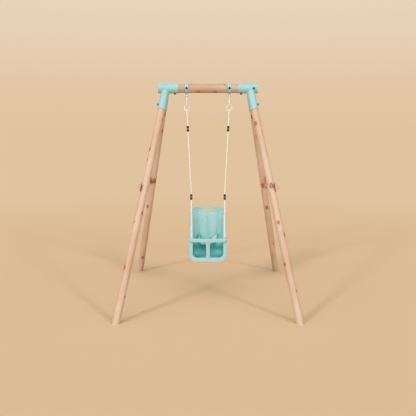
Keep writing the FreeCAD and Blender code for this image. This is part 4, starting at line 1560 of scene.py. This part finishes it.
    def build_top_bead(self) -> bpy.types.Object:
        """The rolled edge over the top of the back.

        Returns:
            The object.
        """
        top = self.high.z
        low = self.base + self.shoulder - 0.012
        flat = rounded_line([(self.back_half, low), (self.back_half, top), (-self.back_half, top),
                             (-self.back_half, low)], (0, self.top_corner, self.top_corner, 0), 0.004)
        lean = math.radians(self.recline)
        normal = Vector((0, -math.cos(lean), math.sin(lean)))
        rings = []
        for index, (x, z) in enumerate(flat):
            before = flat[max(index - 1, 0)]
            after = flat[min(index + 1, len(flat) - 1)]
            tangent = Vector((after[0] - before[0], 0, after[1] - before[1])).normalized()
            out = Vector((tangent.z, 0, -tangent.x))
            face = Vector((x, self.back(z) - self.wall / 2 - 0.0006, z))
            rings.append(self.lip_profile((face - out * 0.008, out, normal, 0.0083), 0.010))
        return add_mesh("top_bead", *loft(rings), 50)

    def build_eyes(self) -> list[bpy.types.Object]:
        """Raised eyes where the four rope strands pass through the flange.

        Returns:
            The objects.
        """
        eyes = []
        wide, deep = self.eye_radii
        for y, z in zip(self.rope_y, (self.base + self.arm, self.base + self.shoulder)):
            for x in (-self.rope_x, self.rope_x):
                ring = [Vector((x + wide * math.cos(angle), y + deep * math.sin(angle), z))
                        for angle in circle(40)]
                eyes.append(add_mesh("eye", *sweep(ring, lambda angle, at: self.eye_bead, 10, closed=True)))
        return eyes

    def build_pocket(self) -> bpy.types.Object:
        """The block behind the front band that takes the guard's tongue.

        Returns:
            The object.
        """
        centre = Vector((0, self.front + 0.0105, self.base + 0.0205))
        block = rounded_block("pocket", centre, Vector(self.pocket_half), 9.0)
        mouth = centre + Vector((0, 0.0005, 0.018))
        tool = rounded_block("pocket_tool", mouth, Vector(self.pocket_mouth), 12.0)
        return carve(block, [tool])

    def build_back_ribs(self) -> list[bpy.types.Object]:
        """Stiffening ribs down the rear of the back.

        Returns:
            The objects.
        """
        ribs = []
        low, high = (self.base + height for height in self.rib_span)
        heights = [low + (high - low) * step / 20 for step in range(21)]
        shares = [min(1.0, 0.25 + step / 3, 0.25 + (20 - step) / 3) for step in range(21)]
        for x in (-self.rib_x, self.rib_x):
            path = [Vector((x, self.back(z) + 0.002, z)) for z in heights]
            rings = [[point + Vector((self.rib_half[0] * share * math.cos(angle),
                                      self.rib_half[1] * share * math.sin(angle), 0)) for angle in circle(14)]
                     for point, share in zip(path, shares)]
            ribs.append(add_mesh("rib", *loft(rings)))
        return ribs

    def build(self) -> None:
        """Builds the seat as one moulding."""
        parts = [self.build_tub(), self.build_flange(), self.build_top_bead(), self.build_pocket()]
        parts += self.build_eyes() + self.build_back_ribs()
        dress(combine("seat_moulding", parts, 42), self.finishes.teal_plastic, "swing",
              "seat_shell")


@dataclass
class Guard:
    """The T-shaped guard: a bowed bar, its stem and the tongue that keys into the seat's rim."""

    finishes: Finishes
    bow: float = 0.018
    end_depth: float = 0.038
    middle_depth: float = 0.022
    height: float = 0.032
    stem_half: float = 0.0165
    stem_foot: float = 0.354
    strand: tuple[float, float] = (0.1435, -0.107)
    bar_power: float = 2 / 4.5
    stem_power: float = 0.42
    end_round: float = 0.012
    stem_depth: float = 0.006
    spread: tuple[float, float] = (0.010, 0.004)
    key_half: tuple[float, float, float] = (0.012, 0.0025, 0.012)
    bore_radius: float = 0.0052
    strand_way: tuple[float, float, float] = (0.0, -0.28217, -0.95937)

    def __post_init__(self) -> None:
        """Reads the guard's box."""
        self.low, self.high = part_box("guard_bar")
        self.half = self.high.x
        self.front = self.high.y - self.end_depth

    def section(self, x: float) -> tuple[float, float]:
        """Middle and half depth of the bar at a place along it.

        Args:
            x: the place.

        Returns:
            The middle and the half depth.
        """
        share = (x / self.half) ** 2
        front = self.front - self.bow * (1 - share)
        thicker = self.end_depth + self.bow - self.middle_depth
        back = self.front - self.bow + self.middle_depth + thicker * share
        return (front + back) / 2, (back - front) / 2

    def build_bar(self) -> bpy.types.Object:
        """The bowed bar with its rounded ends.

        Returns:
            The object.
        """
        rings = []
        centre_z = self.high.z - self.height / 2
        for step in range(81):
            turn = math.pi * step / 80
            x = -self.half * bent(math.cos(turn), 0.55)
            end = max(0.0, (abs(x) - self.half + self.end_round) / self.end_round)
            shrink = math.sqrt(max(1 - end ** 2, 0.02))
            middle, depth = self.section(x)
            ring = []
            for angle in circle(40):
                y, z = bent(math.cos(angle), self.bar_power), bent(math.sin(angle), self.bar_power)
                ring.append(Vector((x, middle + y * (depth - 0.004 * (1 - shrink)) * (0.6 + 0.4 * shrink),
                                    centre_z + z * self.height / 2 * (0.72 + 0.28 * shrink))))
            rings.append(ring)
        return add_mesh("bar", *loft(rings), 50)

    def build_stem(self) -> bpy.types.Object:
        """The stem, spread where it meets the bar and the rim.

        Returns:
            The object.
        """
        top = self.high.z - self.height * 0.5
        foot_y = self.front + 0.001
        top_y = self.front - self.bow + 0.003
        rings = []
        for step in range(33):
            share = step / 32
            z = top + (self.stem_foot + 0.0003 - top) * share
            spread = self.spread[0] * (math.exp(-((top - 0.014 - z) / 0.012) ** 2) if z < top else 1.0)
            spread += self.spread[1] * smooth(0.90, 1.0, share)
            front = top_y + (foot_y - top_y) * share
            ring = []
            for angle in circle(32):
                x, y = bent(math.cos(angle), self.stem_power), bent(math.sin(angle), self.stem_power)
                ring.append(Vector((x * (self.stem_half + spread), front + (1 + y) * self.stem_depth, z)))
            rings.append(ring)
        return add_mesh("stem", *loft(rings), 50)

    def build(self) -> None:
        """Builds the guard as one moulding with bores for the strands."""
        key = rounded_block("key", Vector((0, self.front + 0.007, self.stem_foot - 0.006)),
                            Vector(self.key_half), 10.0)
        body = carve(self.build_bar(), [self.build_stem(), key], "UNION")
        way = Vector(self.strand_way)
        tools = []
        for side in (-1, 1):
            middle = Vector((side * self.strand[0], self.strand[1], self.stem_foot + 0.132))
            path = [middle - way * 0.07, middle + way * 0.03]
            tools.append(add_mesh("bore", *sweep(path, lambda angle, at: self.bore_radius, 40)))
        body = carve(body, tools)
        body.name = "guard_moulding"
        dress(body, self.finishes.teal_plastic, "guard", "guard_bar")


@dataclass
class LapBelt:
    """Two webbing straps, their anchors and the press-button buckle."""

    nodes: dict[str, bpy.types.Object]
    finishes: Finishes
    width: float = 0.025
    thickness: float = 0.0017

    def route(self, side: int) -> list[Vector]:
        """A strap's line, given point by point, from its slot to the buckle.

        Args:
            side: -1 for left and 1 for right.

        Returns:
            The line's points.
        """
        anchor_low, anchor_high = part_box("belt_anchors")
        housing_low, housing_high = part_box("buckle_housing")
        tongue_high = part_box("buckle_tongue")[1]
        face = anchor_low.y - 0.0043
        height = (anchor_low.z + anchor_high.z) / 2
        slot_x = side * (anchor_high.x - 0.009)
        end_x = housing_low.x - 0.0003 if side < 0 else tongue_high.x
        middle_y = (housing_low.y + housing_high.y) / 2
        middle_z = (housing_low.z + housing_high.z) / 2
        run = end_x - slot_x
        return [Vector((slot_x, face + 0.004, height)), Vector((slot_x, face - 0.012, height)),
                Vector((slot_x - side * 0.003, face - 0.028, height - 0.003)),
                Vector((slot_x + run * 0.3, face - 0.046, height - 0.016)),
                Vector((slot_x + run * 0.7, middle_y + 0.004, middle_z + 0.004)),
                Vector((end_x - run * 0.1, middle_y, middle_z)), Vector((end_x, middle_y, middle_z))]

    def strap(self, side: int, side_name: str) -> None:
        """One strap from its slot to the buckle.

        Args:
            side: -1 for left and 1 for right.
            side_name: left or right.
        """
        route = self.route(side)
        padded = [route[0]] + route + [route[-1]]
        line = []
        for index in range(len(route) - 1):
            before, start, finish, after = padded[index:index + 4]
            for step in range(12):
                share = step / 12
                line.append(0.5 * ((2 * start) + (finish - before) * share
                                   + (2 * before - 5 * start + 4 * finish - after) * share ** 2
                                   + (3 * start - before - 3 * finish + after) * share ** 3))
        line.append(route[-1])
        line = resample(line, 0.003)
        rings = []
        for index, point in enumerate(line):
            tangent = (line[min(index + 1, len(line) - 1)] - line[max(index - 1, 0)]).normalized()
            across = Vector((-tangent.y, tangent.x, 0)).normalized()
            wide = tangent.cross(across).normalized()
            thick = self.thickness / 2
            shape = [(step / 6 - 1, thick) for step in range(13)]
            shape += [(-high, -deep) for high, deep in shape]
            rings.append([point + wide * (self.width / 2 * high)
                          + across * (deep * (1 - 0.5 * abs(high) ** 8)) for high, deep in shape])
        dress(add_mesh("belt_%s_webbing" % side_name, *loft(rings), 60), self.finishes.webbing,
              "swing", "belt_" + side_name)

    def build(self) -> None:
        """Builds the straps and dresses the buckle."""
        for side, side_name in ((-1, "left"), (1, "right")):
            self.strap(side, side_name)
        for name in ("belt_anchors", "buckle_housing", "buckle_tongue"):
            recoat(self.nodes[name], self.finishes.buckle_plastic)
        recoat(self.nodes["buckle_button"], self.finishes.red_plastic)


# The set ------------------------------------------------------------------------------------------

@dataclass
class Studio:
    """Camera, plain floor and soft lights."""

    camera_place: tuple[float, float, float] = (0.0, -4.600, 1.477)
    pitch: float = 8.84
    lens: float = 46.73
    floor: Colour = linear(219, 187, 149)
    sky_low: Colour = linear(225, 195, 160)
    sky_high: Colour = linear(233, 212, 186)
    floor_size: float = 400.0
    haze: tuple[float, float] = (2.4, 7.5)
    sky_band: tuple[float, float] = (-0.02, 0.24)
    fill: float = 0.44

    def build_camera(self) -> None:
        """The camera at its viewing angle."""
        camera = bpy.data.objects.new("camera", bpy.data.cameras.new("camera"))
        camera.data.lens = self.lens
        camera.data.sensor_width = 36.0
        camera.location = self.camera_place
        camera.rotation_euler = (math.radians(90 - self.pitch), 0, 0)
        bpy.context.scene.collection.objects.link(camera)
        bpy.context.scene.camera = camera

    def build_floor(self) -> None:
        """A plain pale floor."""
        size = self.floor_size
        outline = [Vector((x * size, y * size, 0)) for x, y in ((-1, -1), (1, -1), (1, 1), (-1, 1))]
        floor = add_mesh("floor", outline, [[0, 1, 2, 3]])
        made = Shader("floor")
        made.feed("Base Color", self.floor)
        made.feed("Roughness", 0.9)
        made.surface.inputs["Specular IOR Level"].default_value = 0.1
        away = made.vector("LENGTH", made.place(), output="Value")
        haze = made.node("ShaderNodeEmission", None, {"Color": (*self.sky_low, 1.0)})
        plain = Value(made.tree, made.surface.outputs[0])
        blend = made.node("ShaderNodeMixShader", None, {0: away.ramp(*self.haze), 1: plain, 2: haze})
        made.tree.links.new(blend.socket, made.tree.nodes["Material Output"].inputs["Surface"])
        floor.data.materials.append(made.material)

    def build_world(self) -> None:
        """Even fill light, and a warm backdrop where the camera or a reflection sees it."""
        world = bpy.data.worlds.new("studio")
        bpy.context.scene.world = world
        world.use_nodes = True
        made = Nodes(world.node_tree)
        light = made.tree.nodes["Background"]
        light.inputs["Color"].default_value = (1.0, 0.985, 0.965, 1.0)
        light.inputs["Strength"].default_value = self.fill
        way = made.node("ShaderNodeTexCoord", output="Generated")
        height = made.node("ShaderNodeSeparateXYZ", None, {0: way}, "Z").ramp(*self.sky_band)
        warm = made.mix(height, self.sky_low, self.sky_high)
        backdrop = made.node("ShaderNodeBackground", None, {"Color": warm})
        seen = made.node("ShaderNodeLightPath", output="Is Camera Ray")
        for kind in ("Is Glossy Ray", "Is Transmission Ray"):
            seen = seen.math("MAXIMUM", made.node("ShaderNodeLightPath", output=kind))
        choose = made.node("ShaderNodeMixShader", None,
                           {0: seen, 1: Value(made.tree, light.outputs[0]), 2: backdrop})
        made.tree.links.new(choose.socket, made.tree.nodes["World Output"].inputs["Surface"])

    def add_light(self, name: str, place: Vector, aim: Vector, softness: float, power: float) -> None:
        """One distant soft light.

        Args:
            name: the light's name.
            place: where it shines from.
            aim: where it shines to.
            softness: the angle that it spans, in degrees.
            power: its strength.
        """
        lamp = bpy.data.lights.new(name, "SUN")
        lamp.angle = math.radians(softness)
        lamp.energy = power
        lamp.color = (1.0, 0.99, 0.98)
        holder = bpy.data.objects.new(name, lamp)
        holder.location = place
        holder.rotation_euler = (aim - place).to_track_quat("-Z", "Y").to_euler()
        bpy.context.scene.collection.objects.link(holder)

    def build(self) -> None:
        """Builds the set."""
        self.build_camera()
        self.build_floor()
        self.build_world()
        middle = Vector((0, 0, 0.9))
        self.add_light("left key", Vector((-4.4, -5.4, 3.5)), middle, 8.0, 1.25)
        self.add_light("right key", Vector((4.4, -5.4, 3.5)), middle, 8.0, 0.92)
        self.add_light("high front", Vector((-0.4, -4.0, 6.4)), middle, 95.0, 1.30)
        bpy.context.scene.view_settings.view_transform = "Standard"


def corners(box: tuple[Vector, Vector]) -> list[list[float]]:
    """A box as plain lists of numbers."""
    return [[float(number) for number in corner] for corner in box]


def main() -> None:
    """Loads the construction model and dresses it."""
    logging.basicConfig(level=logging.INFO, format="%(message)s")
    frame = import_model()
    Studio().build()
    finishes = Finishes()
    nodes = frame["nodes"]
    RopeWork(nodes, finishes).build()
    AFrame(nodes, finishes).build()
    BucketSeat(finishes).build()
    Guard(finishes).build()
    LapBelt(nodes, finishes).build()
    bpy.context.view_layer.update()
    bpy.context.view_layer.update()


if __name__ == "__main__":
    main()
